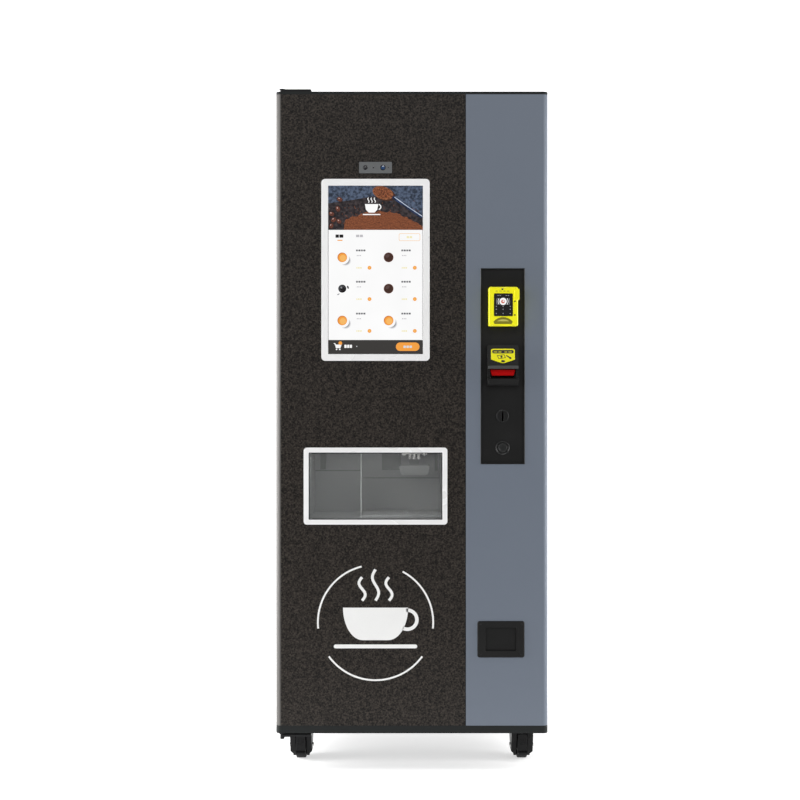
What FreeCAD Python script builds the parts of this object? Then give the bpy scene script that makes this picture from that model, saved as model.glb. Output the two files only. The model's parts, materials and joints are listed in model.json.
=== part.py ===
import FreeCAD, Part
import math
import os

# Hot coffee vending machine.  Millimetres, +X to the viewer's right, the front faces -Y, +Z up.
# The origin is on the floor, under the middle of the machine's bounding box.

V = FreeCAD.Vector

# ---------------------------------------------------------------- overall sizes
body_width = 770.0
body_height = 1815.0          # underside of the base to the top of the roof
body_depth = 700.0            # face of the card reader to the rear flanges
caster_height = 105.0
reader_proud = 32.0           # how far the card reader stands out of the door
door_depth = 96.0
door_gap = 4.0                # between the door's back and the cabinet
sheet = 2.0                   # folded sheet of the cabinet and the door
edge_radius = 15.0            # rounded vertical edges of the door
running = 0.05                # radial clearance of pins and shafts
slack = 0.3                   # clearance of parts that only lie beside each other

# ---------------------------------------------------------------- door
door_cap_height = 8.4
door_sill_height = 21.7
door_top_gap = 0.5
stile_width = 30.0
grey_width = 233.2            # grey panel on the payment side
panel_gap = 1.6               # shadow gap between the two front panels
mullion_width = 26.0
mullion_depth = 20.0
hinge_inset_x = 17.0
hinge_inset_y = 18.0
gasket_inset = 19.0
gasket_width = 12.0

hinge_pin_radius = 6.0
hinge_plate = 8.0
hinge_plate_width = 88.0
hinge_plate_reach = 150.0
lower_hinge_plate = 6.7
lower_hinge_gap = 5.6
pin_head_radius = 8.5
pin_head_height = 2.0
pin_depth = 24.0              # pin inside the door
pin_tail = 7.0                # pin below the lower plate
hinge_block = 22.0

# ---------------------------------------------------------------- fittings of the dark panel
feature_inset = 282.0         # left edge to the centre line of screen, window and camera bar
screen_width = 268.0
screen_height = 476.0
screen_level = 1310.0         # centre above the underside
bezel_border = 19.0
bezel_radius = 11.0
trim_proud = 3.0              # bezel and window frame ahead of the panel
screen_module_rim = 16.0
screen_module_depth = 30.0

camera_width = 93.0
camera_height = 32.0
camera_level = 1599.0
camera_body_depth = 22.0
camera_lip = 6.0

window_width = 378.0
window_height = 189.6
window_level = 699.0
window_border = 14.0
window_radius = 9.0
window_collar = 5.0
pane_thickness = 4.0
pane_setback = 7.0            # pane behind the door's face
pane_overlap = 8.0
pane_travel = 190.0
rail_lip = 2.2
rail_width = 11.0

# ---------------------------------------------------------------- payment side
payment_inset = 128.5         # right edge to the centre line of the payment panel
payment_width = 126.0
payment_height = 553.8
payment_level = 1037.7
payment_recess = 4.0
payment_plate = 3.0
payment_rim = 2.4
payment_rim_proud = 0.8

reader_width = 82.0
reader_height = 110.0
reader_level = 1205.0
reader_back_depth = 40.0
display_width = 54.0
display_height = 65.0
display_recess = 1.5
display_rise = 4.5            # display's centre above the reader's
reader_corner = 5.0
reader_hump_proud = 5.0

validator_width = 87.0
validator_height = 114.5
validator_level = 1040.3
validator_body_depth = 88.0
throat_width = 74.0

coin_level = 897.0
coin_disc_radius = 19.0
coin_slot_width = 4.4
coin_slot_height = 32.0
coin_chute_depth = 45.0
button_level = 807.0
button_radius = 14.0
button_ring = 20.0
button_travel = 4.0
button_length = 22.0

cup_level = 266.0
cup_offset = -5.0             # coin cup's centre from the payment centre line
cup_flange_width = 133.0
cup_flange_height = 103.0
cup_open_width = 86.5
cup_open_height = 66.0
cup_depth = 70.0
cup_flange_proud = 2.5
cup_lip = 14.0                # flange around the panel's cut-out, both sides together
flap_thickness = 3.0
flap_pin_radius = 2.0

lock_level = 915.0
lock_radius = 35.0
lock_pocket_radius = 32.0
lock_depth = 18.0
lock_spindle_radius = 5.0
lock_bar_length = 56.0
cam_reach = 62.0
cam_thickness = 5.0
cam_inset = 34.0              # outer side of the cabinet to the cam
cam_width = 16.0

# ---------------------------------------------------------------- cabinet
flange_width = 45.0
rear_flange_width = 30.0
rear_inset = 14.0
rail_height = 55.0
side_rail_width = 98.0
cross_rail_width = 40.0
rail_wall = 3.0
deck = 3.0
shelf = 2.0
shelf_setback = 28.0
tether_radius = 4.5
tether_drop = 150.0
tether_inset = 15.0
plug_width = 18.0
plug_inset = 53.0

fan_size = 120.0
fan_depth = 25.0
fan_bore_radius = 56.0
fan_drop = 230.0
fan_x = -100.0
fan_shaft_radius = 3.0
fan_slot_pitch = 15.0
fan_slot_height = 7.0

gland_radius = 12.0
gland_bore_radius = 6.0
gland_length = 11.0
gland_rise = 120.0
gland_inset = 90.0

# ---------------------------------------------------------------- cup chamber and spout
chamber_depth = 300.0         # door's face to the chamber's back wall
chamber_margin = 2.0
divider_inset = 147.0         # chamber's left wall to the divider
divider_thickness = 4.0
tray_height = 6.0
spout_offset = 112.0          # spout's centre line right of the window's centre line
spout_width = 90.0
spout_front = 158.0           # funnel's front behind the door's face
spout_depth = 100.0
funnel_top = 48.0             # below the chamber's ceiling
funnel_height = 28.0
nozzle_radius = 4.0
nozzle_wall = 1.2
nozzle_pitch = 13.0
nozzle_length = 30.0
plenum = 30.0                 # chamber's ceiling to the shelf above

# ---------------------------------------------------------------- machinery
mixer_level_height = 232.0    # shelf of the brewer to the shelf of the canisters

brewer_width = 120.0
brewer_depth = 130.0
brewer_height = 215.0
brewer_bore_radius = 25.0
brewer_bore_depth = 130.0
piston_length = 18.0
piston_rod_radius = 7.0
piston_rod_length = 50.0
side_clearance = 20.0         # machinery beside the cabinet's wall
front_clearance = 32.0        # machinery behind the cabinet's front

grinder_height = 180.0
chute_radius = 20.0
hopper_width = 140.0
hopper_depth = 180.0
hopper_height = 240.0
hopper_funnel = 70.0
hopper_wall = 3.0
hopper_throat_radius = 25.0
lid_thickness = 4.0
lid_pin_radius = 2.5

canister_width = 74.0
canister_depth = 220.0
canister_height = 230.0
canister_wall = 3.0
canister_pitch = 80.0
canister_count = 2
canister_x = 245.0            # left wall to the first canister's centre
canister_spout_radius = 13.0

bowl_radius = 42.0
bowl_height = 60.0
bowl_rim = 14.0
bowl_wall = 2.5
bowl_foot_radius = 14.0
mixer_outlet_radius = 7.0
whip_radius = 22.0
whip_length = 30.0
whip_wall = 3.0
whip_shaft_radius = 3.0
whip_motor_length = 60.0

turret_radius = 150.0
turret_ring = 100.0
turret_height = 560.0
turret_disc = 6.0
stack_count = 5
stack_radius = 39.0
cup_height = 90.0
cup_taper = 12.0
turret_inset = 185.0
turret_base_size = 120.0
turret_base_height = 20.0
turret_pin_radius = 8.0
turret_pin_length = 30.0
turret_hub_radius = 20.0

boiler_radius = 75.0
boiler_height = 190.0
boiler_foot = 18.0
boiler_foot_ring = 48.0
control_width = 235.0
control_depth = 300.0
control_height = 170.0
bin_width = 330.0
bin_depth = 340.0
bin_height = 400.0
bin_wall = 3.0
tank_width = 340.0
tank_depth = 420.0
tank_height = 420.0
tank_wall = 3.0
tank_corner = 20.0

# ---------------------------------------------------------------- casters
caster_inset = 63.0           # side of the cabinet to the kingpin
front_kingpin = 68.0          # cabinet's front to the kingpin
rear_kingpin = 65.0           # cabinet's back to the kingpin
caster_plate = 5.0
caster_plate_size = 76.0
swivel_ring_radius = 25.0
swivel_ring_height = 7.5
kingpin_radius = 6.0
wheel_radius = 37.5
wheel_width = 29.0
fork_width = 63.0
fork_foot_width = 47.0
fork_crown = 12.0
caster_trail = 31.0
axle_radius = 4.0
pedal_width = 27.0

# ---------------------------------------------------------------- derived places
half_width = body_width / 2
underside = caster_height
roof_top = underside + body_height
back = body_depth / 2
door_front = -body_depth / 2 + reader_proud
door_back = door_front + door_depth
cabinet_front = door_back + door_gap
door_top = roof_top - door_top_gap
door_bottom = underside
panel_low = door_bottom + door_sill_height
panel_high = roof_top - door_cap_height
panel_split = half_width - grey_width
wall_left = -half_width + sheet
wall_right = half_width - sheet
feature_x = -half_width + feature_inset
payment_x = half_width - payment_inset
hinge_x = -half_width + hinge_inset_x
hinge_y = door_front + hinge_inset_y


def span(centre, length):
    return (centre - length / 2, centre + length / 2)


def grow(interval, by):
    return (interval[0] - by, interval[1] + by)


window_x = span(feature_x, window_width)
window_z = span(underside + window_level, window_height)
pane_y = (door_front + pane_setback, door_front + pane_setback + pane_thickness)
rail_back = pane_y[1] + slack + rail_lip
tunnel_x = grow(window_x, chamber_margin)
tunnel_z = grow(window_z, chamber_margin)
chamber_back = door_front + chamber_depth
shelf_y = (cabinet_front + shelf_setback, back - rear_inset - sheet)
chamber_shelf_top = tunnel_z[0] - sheet
chamber_roof = tunnel_z[1] + sheet
brewer_shelf_top = chamber_roof + plenum + shelf
canister_shelf_top = brewer_shelf_top + mixer_level_height + shelf
deck_top = underside + rail_height + deck
machine_front = cabinet_front + front_clearance
brewer_x = wall_left + side_clearance + brewer_width / 2
brewer_y = machine_front + brewer_depth / 2
spout_x = feature_x + spout_offset
mixer_x = wall_left + canister_x + canister_pitch * (canister_count - 1) / 2
mixer_y = machine_front + bowl_radius + side_clearance
lock_y = (door_front + door_back) / 2
lock_z = underside + lock_level
cam_sweep = math.hypot(cam_reach, cam_width / 2)
keeper_x = span(half_width - cam_inset - cam_thickness / 2, cam_thickness + 6)
cam_rise = math.sqrt(cam_sweep ** 2 - (cabinet_front - lock_y) ** 2)
keeper_z = (lock_z - cam_width / 2 - 3, lock_z + cam_rise + 3)


# ---------------------------------------------------------------- shape helpers
def block(x, y, z):
    return Part.makeBox(x[1] - x[0], y[1] - y[0], z[1] - z[0], V(x[0], y[0], z[0]))


def rod_x(radius, x, y, z):
    return Part.makeCylinder(radius, x[1] - x[0], V(x[0], y, z), V(1, 0, 0))


def rod_y(radius, x, y, z):
    return Part.makeCylinder(radius, y[1] - y[0], V(x, y[0], z), V(0, 1, 0))


def rod_z(radius, x, y, z):
    return Part.makeCylinder(radius, z[1] - z[0], V(x, y, z[0]), V(0, 0, 1))


def edges_along(shape, axis):
    found = []
    for edge in shape.Edges:
        ends = edge.Vertexes
        if len(ends) != 2 or not isinstance(edge.Curve, Part.Line):
            continue
        run = ends[1].Point.sub(ends[0].Point)
        if abs(abs(run.dot(axis)) - run.Length) < 1e-6:
            found.append(edge)
    return found


def rounded(x, y, z, radius, axis=V(0, 1, 0)):
    solid = block(x, y, z)
    return solid.makeFillet(radius, edges_along(solid, axis))


def ring(x, y, z, border, radius):
    outer = rounded(x, y, z, radius)
    return outer.cut(block(grow(x, -border), y, grow(z, -border)))


def tub(x, y, z, wall):
    inner = block(grow(x, -wall), grow(y, -wall), (z[0] + wall, z[1] + 1))
    return block(x, y, z).cut(inner)


def hollow_bar(x, y, z, wall):
    sides = [x, y, z]
    lengths = [side[1] - side[0] for side in sides]
    longest = lengths.index(max(lengths))
    inner = [side if i == longest else grow(side, -wall) for i, side in enumerate(sides)]
    return block(x, y, z).cut(block(*inner))


def outline(points, plane):
    """Closed face through points given in the plane, "yz" or "xz"."""
    corners = [V(0, a, b) if plane == "yz" else V(a, 0, b) for a, b in points]
    return Part.Face(Part.makePolygon(corners + corners[:1]))


def extrude_x(points, x):
    face = outline(points, "yz")
    face.translate(V(x[0], 0, 0))
    return face.extrude(V(x[1] - x[0], 0, 0))


def extrude_y(points, y):
    face = outline(points, "xz")
    face.translate(V(0, y[0], 0))
    return face.extrude(V(0, y[1] - y[0], 0))


def taper(low_x, low_y, low_z, high_x, high_y, high_z):
    """Straight-sided solid between two level rectangles."""
    wires = []
    for x, y, z in ((low_x, low_y, low_z), (high_x, high_y, high_z)):
        corners = [V(x[0], y[0], z), V(x[1], y[0], z), V(x[1], y[1], z), V(x[0], y[1], z)]
        wires.append(Part.makePolygon(corners + corners[:1]))
    return Part.makeLoft(wires, True, True)


def join(*solids):
    whole = solids[0]
    for solid in solids[1:]:
        whole = whole.fuse(solid)
    return whole.removeSplitter()


def save(node, *solids):
    shape = solids[0] if len(solids) == 1 else Part.makeCompound(list(solids))
    shape.exportStep("parts/" + node + ".step")


# ---------------------------------------------------------------- cabinet
def base():
    """Four hollow rails under a flat deck."""
    z = (underside, underside + rail_height)
    inner_left = wall_left + side_rail_width
    inner_right = wall_right - side_rail_width
    y = (cabinet_front + sheet, back - sheet)
    left = hollow_bar((wall_left, inner_left), y, z, rail_wall)
    right = hollow_bar((inner_right, wall_right), y, z, rail_wall)
    front = hollow_bar((inner_left, inner_right), (y[0], y[0] + cross_rail_width), z, rail_wall)
    rear = hollow_bar((inner_left, inner_right), (y[1] - cross_rail_width, y[1]), z, rail_wall)
    plate = block((wall_left, wall_right), (y[0], back - rear_inset - sheet), (z[1], z[1] + deck))
    save("base_frame", left, right, front, rear, plate)


def side_panel(side):
    """Folded side: a flat wall with flanges turned in at the front and at the rear."""
    outer = side * half_width
    inner = side * (half_width - sheet)
    z = (underside, roof_top - sheet)
    wall = block(sorted((outer, inner)), (cabinet_front, back), z)
    front_flange = block(sorted((inner, side * (half_width - flange_width))),
                         (cabinet_front, cabinet_front + sheet), z)
    rear_flange = block(sorted((inner, side * (half_width - rear_flange_width))), (back - sheet, back), z)
    panel = join(wall, front_flange, rear_flange)
    hole = rod_y(tether_radius, side * (half_width - tether_inset), (back - 2 * sheet, back + sheet),
                 roof_top - tether_drop)
    return panel.cut(hole)


def cabinet_walls():
    save("left_side_panel", side_panel(-1))
    keeper_slot = block(keeper_x, (cabinet_front - 1, cabinet_front + 2 * sheet), keeper_z)
    save("right_side_panel", side_panel(1).cut(keeper_slot))

    x = (-half_width, half_width)
    top = block(x, (cabinet_front, back), (roof_top - sheet, roof_top))
    lip = block(grow(x, -flange_width), (cabinet_front, cabinet_front + sheet),
                (roof_top - flange_width, roof_top - sheet))
    plug_x = half_width - plug_inset - plug_width
    plug_y = cabinet_front + front_clearance
    plug_hole = rod_z(plug_width / 2 - 2, plug_x, plug_y, (roof_top - 2 * sheet, roof_top + 1))
    cap = rod_z(plug_width / 2, plug_x, plug_y, (roof_top, roof_top + 3))
    cap = cap.makeFillet(1.5, [cap.Edges[0]])
    stem = rod_z(plug_width / 2 - 2 - running, plug_x, plug_y, (roof_top - 2 * sheet, roof_top))
    save("roof_panel", join(top, lip).cut(plug_hole), join(cap, stem))

    fan_z = roof_top - fan_drop
    rear = block((wall_left, wall_right), (back - rear_inset - sheet, back - rear_inset),
                 (underside + rail_height, roof_top - sheet))
    rear = rear.cut(rod_y(gland_radius - 2, half_width - gland_inset, (0, back), underside + gland_rise))
    for row in range(-3, 4):
        rise = row * fan_slot_pitch
        half_slot = math.sqrt(fan_bore_radius ** 2 - rise ** 2) - 4
        slot_z = span(fan_z + rise, fan_slot_height)
        rear = rear.cut(block(span(fan_x, 2 * half_slot), (back - rear_inset - 2 * sheet, back), slot_z))
    save("rear_panel", rear)


def hinges():
    """Plates above and below the door, each with its own pin."""
    x = (hinge_x - 5.4, hinge_x - 5.4 + hinge_plate_width)
    y = (hinge_y - 10, hinge_y - 10 + hinge_plate_reach)
    top = (roof_top, roof_top + hinge_plate)
    upper = rounded(x, y, top, 5, V(0, 0, 1))
    low = (underside - lower_hinge_gap - lower_hinge_plate, underside - lower_hinge_gap)
    lower = rounded(x, (y[0], cabinet_front + 24), low, 5, V(0, 0, 1))
    riser = block((x[0] + 5, x[1] - 5), (cabinet_front + sheet, cabinet_front + 23), (low[1], underside))
    upper = upper.cut(rod_z(hinge_pin_radius, hinge_x, hinge_y, top))
    lower = join(lower, riser).cut(rod_z(hinge_pin_radius, hinge_x, hinge_y, low))
    head = rod_z(pin_head_radius, hinge_x, hinge_y, (top[1], top[1] + pin_head_height))
    upper_pin = join(rod_z(hinge_pin_radius, hinge_x, hinge_y, (door_top - pin_depth, top[1])), head)
    collar = rod_z(pin_head_radius, hinge_x, hinge_y, (low[1], door_bottom - slack))
    tail = rod_z(hinge_pin_radius, hinge_x, hinge_y, (low[0] - pin_tail, door_bottom + pin_depth))
    save("door_hinges", upper, lower, upper_pin, join(tail, collar))


def shelves():
    x = (wall_left, wall_right)
    low = block(x, shelf_y, (chamber_shelf_top - shelf, chamber_shelf_top))
    middle = block(x, shelf_y, (brewer_shelf_top - shelf, brewer_shelf_top))
    high = block(x, shelf_y, (canister_shelf_top - shelf, canister_shelf_top))
    middle = middle.cut(rod_z(nozzle_radius * 4, spout_x, spout_y(), (0, roof_top)))
    high = high.cut(rod_z(chute_radius + 1, brewer_x, brewer_y, (0, roof_top)))
    for i in range(canister_count):
        high = high.cut(rod_z(canister_spout_radius + 1, canister_centre(i), mixer_y, (0, roof_top)))
    save("module_shelves", low, middle, high)


# ---------------------------------------------------------------- cup chamber
def spout_y():
    return door_front + spout_front + spout_depth / 2


def chamber():
    """Open-fronted sheet box that the cup stands in, with its divider and drip tray."""
    y = (cabinet_front + sheet, chamber_back + sheet)
    box = block(grow(tunnel_x, sheet), y, grow(tunnel_z, sheet))
    box = box.cut(block(tunnel_x, (y[0] - 1, chamber_back), tunnel_z))
    box = box.cut(rod_z(nozzle_radius * 4, spout_x, spout_y(), (tunnel_z[1] - 1, chamber_roof + 1)))
    save("cup_chamber", box)
    divider_x = span(tunnel_x[0] + divider_inset, divider_thickness)
    save("chamber_divider", block(divider_x, (y[0], chamber_back - slack), grow(tunnel_z, -slack)))
    tray_x = (divider_x[1] + 1, tunnel_x[1] - 1)
    tray_y = (y[0] + 4, chamber_back - 2)
    tray = tub(tray_x, tray_y, (tunnel_z[0], tunnel_z[0] + tray_height), 2)
    slotted = block(grow(tray_x, -2), grow(tray_y, -2), (tunnel_z[0] + 3, tunnel_z[0] + 4.5))
    save("drip_tray", join(tray, slotted))


def spout():
    """Bracket through the chamber's ceiling with a splash funnel below it, and the nozzle head."""
    y0 = door_front + spout_front
    y = (y0, y0 + spout_depth)
    x = span(spout_x, spout_width)
    ceiling = tunnel_z[1]
    funnel_z = (ceiling - funnel_top - funnel_height, ceiling - funnel_top)
    outer = taper(grow(x, -6), grow(y, -6), funnel_z[0], x, y, funnel_z[1])
    inner = taper(grow(x, -8), grow(y, -8), funnel_z[0], grow(x, -2), grow(y, -2), funnel_z[1])
    strap = block(span(spout_x, 30), (y[1] - 2, y[1]), (funnel_z[1] - 1, ceiling))
    save("spout_funnel", join(outer.cut(inner), strap))

    z = (ceiling - nozzle_length, ceiling)
    head = rod_z(nozzle_radius * 4 - slack, spout_x, spout_y(), (ceiling - 6, brewer_shelf_top + 6))
    bar = block(span(spout_x, 3 * nozzle_pitch), span(spout_y(), 9), (ceiling - 15, ceiling - 6))
    parts = [head, bar]
    for i in (-1, 0, 1):
        parts.append(rod_z(nozzle_radius, spout_x + i * nozzle_pitch, spout_y(), (z[0], ceiling - 14)))
    for side in (-1, 1):
        lug_x = spout_x + side * (1.5 * nozzle_pitch + 11)
        arm = block(sorted((spout_x + side * 1.2 * nozzle_pitch, lug_x - side * 5)), span(spout_y(), 5),
                    (ceiling - 15, ceiling - 10))
        parts += [arm, rod_y(7, lug_x, span(spout_y(), 6), ceiling - 13)]
    nozzles = join(*parts)
    for i in (-1, 0, 1):
        bore = rod_z(nozzle_radius - nozzle_wall, spout_x + i * nozzle_pitch, spout_y(), (z[0] - 1, ceiling))
        nozzles = nozzles.cut(bore)
    save("spout_nozzles", nozzles)


# ---------------------------------------------------------------- machinery
def canister_centre(i):
    return wall_left + canister_x + canister_pitch * i


def brewer():
    x = span(brewer_x, brewer_width)
    y = span(brewer_y, brewer_depth)
    z = (brewer_shelf_top, brewer_shelf_top + brewer_height)
    floor = z[1] - brewer_bore_depth
    body = rounded(x, y, z, 8, V(0, 0, 1))
    body = body.cut(rod_z(brewer_bore_radius, brewer_x, brewer_y, (floor, z[1] + 1)))
    rod_z0 = floor - piston_rod_length
    body = body.cut(rod_z(piston_rod_radius, brewer_x, brewer_y, (rod_z0, floor + 1)))
    save("brew_unit", body)
    head = rod_z(brewer_bore_radius - running, brewer_x, brewer_y, (floor + slack, floor + piston_length))
    rod = rod_z(piston_rod_radius - running, brewer_x, brewer_y, (rod_z0 + slack, floor + 1))
    save("brew_piston", join(head, rod))


def grinder():
    z = (canister_shelf_top, canister_shelf_top + grinder_height)
    body = rounded(span(brewer_x, brewer_width), span(brewer_y, brewer_depth), z, 18, V(0, 0, 1))
    chute = rod_z(chute_radius, brewer_x, brewer_y, (brewer_shelf_top + brewer_height + slack, z[0] + 1))
    knob = rod_y(18, brewer_x, (brewer_y - brewer_depth / 2 - 8, brewer_y), z[0] + grinder_height / 2)
    save("grinder", join(body, chute, knob))


def hopper():
    """Clear bean hopper: a tub over a funnel, with a lid hinged along its rear edge."""
    low = canister_shelf_top + grinder_height
    x = span(brewer_x, hopper_width)
    y = span(brewer_y, hopper_depth)
    y = (y[0] + (hopper_depth - brewer_depth) / 2, y[1] + (hopper_depth - brewer_depth) / 2)
    z = (low + hopper_funnel, low + hopper_funnel + hopper_height)
    throat = 2 * hopper_throat_radius
    outer = join(taper(span(brewer_x, throat), span(brewer_y, throat), low, x, y, z[0]), block(x, y, z))
    inner_x = grow(x, -hopper_wall)
    inner_y = grow(y, -hopper_wall)
    bore = throat - 2 * hopper_wall
    floor = z[0] + hopper_wall
    inner = join(taper(span(brewer_x, bore), span(brewer_y, bore), low, inner_x, inner_y, floor),
                 block(inner_x, inner_y, (floor, z[1] + 1)))
    tub_shell = outer.cut(inner)
    pin_y = y[1] + lid_pin_radius + 3
    pin_z = z[1] + lid_thickness / 2 + slack
    ears = []
    for side in (-1, 1):
        ear_x = sorted((brewer_x + side * (hopper_width / 2 - 6), brewer_x + side * hopper_width / 2))
        ear = block(ear_x, (y[1] - 1, pin_y + 5), (pin_z - 12, pin_z + 5))
        ears.append(ear.cut(rod_x(lid_pin_radius + running, ear_x, pin_y, pin_z)))
    tub_shell = tub_shell.cut(rod_x(lid_pin_radius + running, x, pin_y, pin_z))
    save("bean_hopper", join(tub_shell, *ears))

    lid_z = (z[1] + slack, z[1] + slack + lid_thickness)
    plate = block(x, (y[0], y[1] + 0.5), lid_z)
    for side in (-1, 1):
        notch = sorted((brewer_x + side * (hopper_width / 2 - 7), brewer_x + side * hopper_width))
        plate = plate.cut(block(notch, (y[1] - 3, y[1] + 2), grow(lid_z, 1)))
    knuckle_x = grow(x, -6.5)
    knuckle = rod_x(4.2, knuckle_x, pin_y, pin_z)
    web = block(grow(x, -8), (y[1], pin_y), lid_z)
    pin = rod_x(lid_pin_radius, grow(x, -0.5), pin_y, pin_z)
    handle = block(span(brewer_x, 40), (y[0] - 6, y[0] + 1), lid_z)
    save("hopper_lid", join(plate, web, knuckle, pin, handle))


def canisters():
    """Powder tubs with lift-off lids, each with its outlet down through the shelf."""
    solids = []
    y = (machine_front, machine_front + canister_depth)
    z = (canister_shelf_top, canister_shelf_top + canister_height)
    for i in range(canister_count):
        x = span(canister_centre(i), canister_width)
        outlet = rod_z(canister_spout_radius, canister_centre(i), mixer_y, (z[0] - shelf - 8, z[0] + 2))
        bore = rod_z(canister_spout_radius - 2, canister_centre(i), mixer_y, (z[0] - shelf - 9, z[0] + 8))
        solids.append(join(tub(x, y, z, canister_wall), outlet).cut(bore))
        solids.append(block(x, y, (z[1], z[1] + lid_thickness)))
    save("powder_canisters", *solids)


def mixer():
    """Mixing bowl over a whipper chamber, with the whipper's motor on the shelf behind it."""
    low = brewer_shelf_top
    axis_z = low + 60
    bowl_low = axis_z + whip_radius - 4
    foot = V(mixer_x, mixer_y, bowl_low)
    rim_z = (bowl_low + bowl_height, bowl_low + bowl_height + bowl_rim)
    cone = Part.makeCone(bowl_foot_radius, bowl_radius, bowl_height, foot)
    rim = rod_z(bowl_radius, mixer_x, mixer_y, rim_z)
    inner_radius = bowl_radius - bowl_wall
    inner_cone = Part.makeCone(bowl_foot_radius - bowl_wall, inner_radius, bowl_height, foot)
    inner_rim = rod_z(inner_radius, mixer_x, mixer_y, (rim_z[0], rim_z[1] + 1))
    house_y = span(mixer_y, whip_length + 2 * whip_wall)
    house = rod_y(whip_radius + whip_wall, mixer_x, house_y, axis_z)
    cavity = rod_y(whip_radius, mixer_x, span(mixer_y, whip_length), axis_z)
    house_low = axis_z - whip_radius
    outlet = rod_z(mixer_outlet_radius, mixer_x, mixer_y, (house_low - 12, house_low + 2))
    outlet_bore = rod_z(mixer_outlet_radius - 2, mixer_x, mixer_y, (house_low - 13, axis_z))
    shaft_bore = whip_shaft_radius + running
    shaft_hole = rod_y(shaft_bore, mixer_x, (mixer_y, house_y[1] + 1), axis_z)
    bowl = join(cone, rim, house, outlet)
    bowl = bowl.cut(inner_cone).cut(inner_rim).cut(cavity).cut(outlet_bore).cut(shaft_hole)
    motor_y = (house_y[1], house_y[1] + whip_motor_length)
    motor = join(rod_y(whip_radius + whip_wall, mixer_x, motor_y, axis_z),
                 block(span(mixer_x, 36), (motor_y[0], motor_y[1] - 8), (low, axis_z)))
    motor = motor.cut(rod_y(shaft_bore, mixer_x, (motor_y[0] - 1, motor_y[0] + 20), axis_z))
    save("mixer_bowl", bowl, motor)
    disc = rod_y(whip_radius - 4, mixer_x, span(mixer_y, 8), axis_z)
    for i in range(6):
        notch = block(span(mixer_x, 5), span(mixer_y, 10), (axis_z + 8, axis_z + whip_radius))
        notch.rotate(V(mixer_x, mixer_y, axis_z), V(0, 1, 0), 60 * i)
        disc = disc.cut(notch)
    shaft = rod_y(whip_shaft_radius, mixer_x, (mixer_y - 6, motor_y[0] + 18), axis_z)
    save("whipper", join(disc, shaft))


def turret():
    """Rotary cup store: a hub with two discs carrying stacks of cups, on a fixed base."""
    x = half_width - turret_inset
    y = (cabinet_front + back) / 2
    low = canister_shelf_top
    base_z = (low, low + turret_base_height)
    base_box = rounded(span(x, turret_base_size), span(y, turret_base_size), base_z, 10, V(0, 0, 1))
    pin = rod_z(turret_pin_radius, x, y, (low, base_z[1] + turret_pin_length))
    save("turret_base", join(base_box, pin))
    z0 = low + turret_base_height + slack
    disc_low = (z0 + 20, z0 + 20 + turret_disc)
    disc_high = (z0 + turret_height - 90, z0 + turret_height - 90 + turret_disc)
    hub = rod_z(turret_hub_radius, x, y, (z0, z0 + turret_height))
    body = join(hub, rod_z(turret_radius, x, y, disc_low), rod_z(turret_radius, x, y, disc_high))
    pin_hole_z = (z0 - 1, base_z[1] + turret_pin_length + 1)
    body = body.cut(rod_z(turret_pin_radius + running, x, y, pin_hole_z))
    stacks = []
    for i in range(stack_count):
        angle = 2 * math.pi * i / stack_count
        cx = x + turret_ring * math.cos(angle)
        cy = y + turret_ring * math.sin(angle)
        body = body.cut(rod_z(stack_radius + 1, cx, cy, grow(disc_high, 1)))
        cup = Part.makeCone(stack_radius - cup_taper, stack_radius, cup_height, V(cx, cy, disc_low[1]))
        sleeve = rod_z(stack_radius, cx, cy, (disc_low[1] + cup_height, disc_high[1] + 60))
        stacks.append(join(cup, sleeve))
    save("cup_turret", body)
    save("cup_stacks", *stacks)


def boiler():
    x = wall_left + side_clearance + boiler_radius + 60
    y = back - rear_inset - sheet - boiler_radius - 40
    low = brewer_shelf_top
    shell_z = (low + boiler_foot, low + boiler_foot + boiler_height)
    shell = rod_z(boiler_radius, x, y, shell_z)
    shell = shell.makeFillet(14, [edge for edge in shell.Edges if isinstance(edge.Curve, Part.Circle)])
    cavity = rod_z(boiler_radius - 16, x, y, grow(shell_z, -3))
    feet = []
    for i in range(3):
        angle = 2 * math.pi * i / 3
        foot_x = x + boiler_foot_ring * math.cos(angle)
        foot_y = y + boiler_foot_ring * math.sin(angle)
        feet.append(rod_z(8, foot_x, foot_y, (low, shell_z[0] + 4)))
    outlet = rod_y(7, x, (y - boiler_radius - 25, y), shell_z[1] - 50)
    save("boiler", join(shell, outlet, *feet).cut(cavity))


def control_box():
    x = (wall_right - side_clearance - control_width, wall_right - side_clearance)
    y = (machine_front, machine_front + control_depth)
    z = (brewer_shelf_top, brewer_shelf_top + control_height)
    body = rounded(x, y, z, 4, V(0, 0, 1)).cut(block(grow(x, -sheet), grow(y, -sheet), grow(z, -sheet)))
    for i in range(8):
        slot = block((x[0] + 30, x[1] - 30), (y[0] - 1, y[0] + 3), span(z[0] + 30 + i * 10, 4))
        body = body.cut(slot)
    save("control_box", body)


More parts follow.
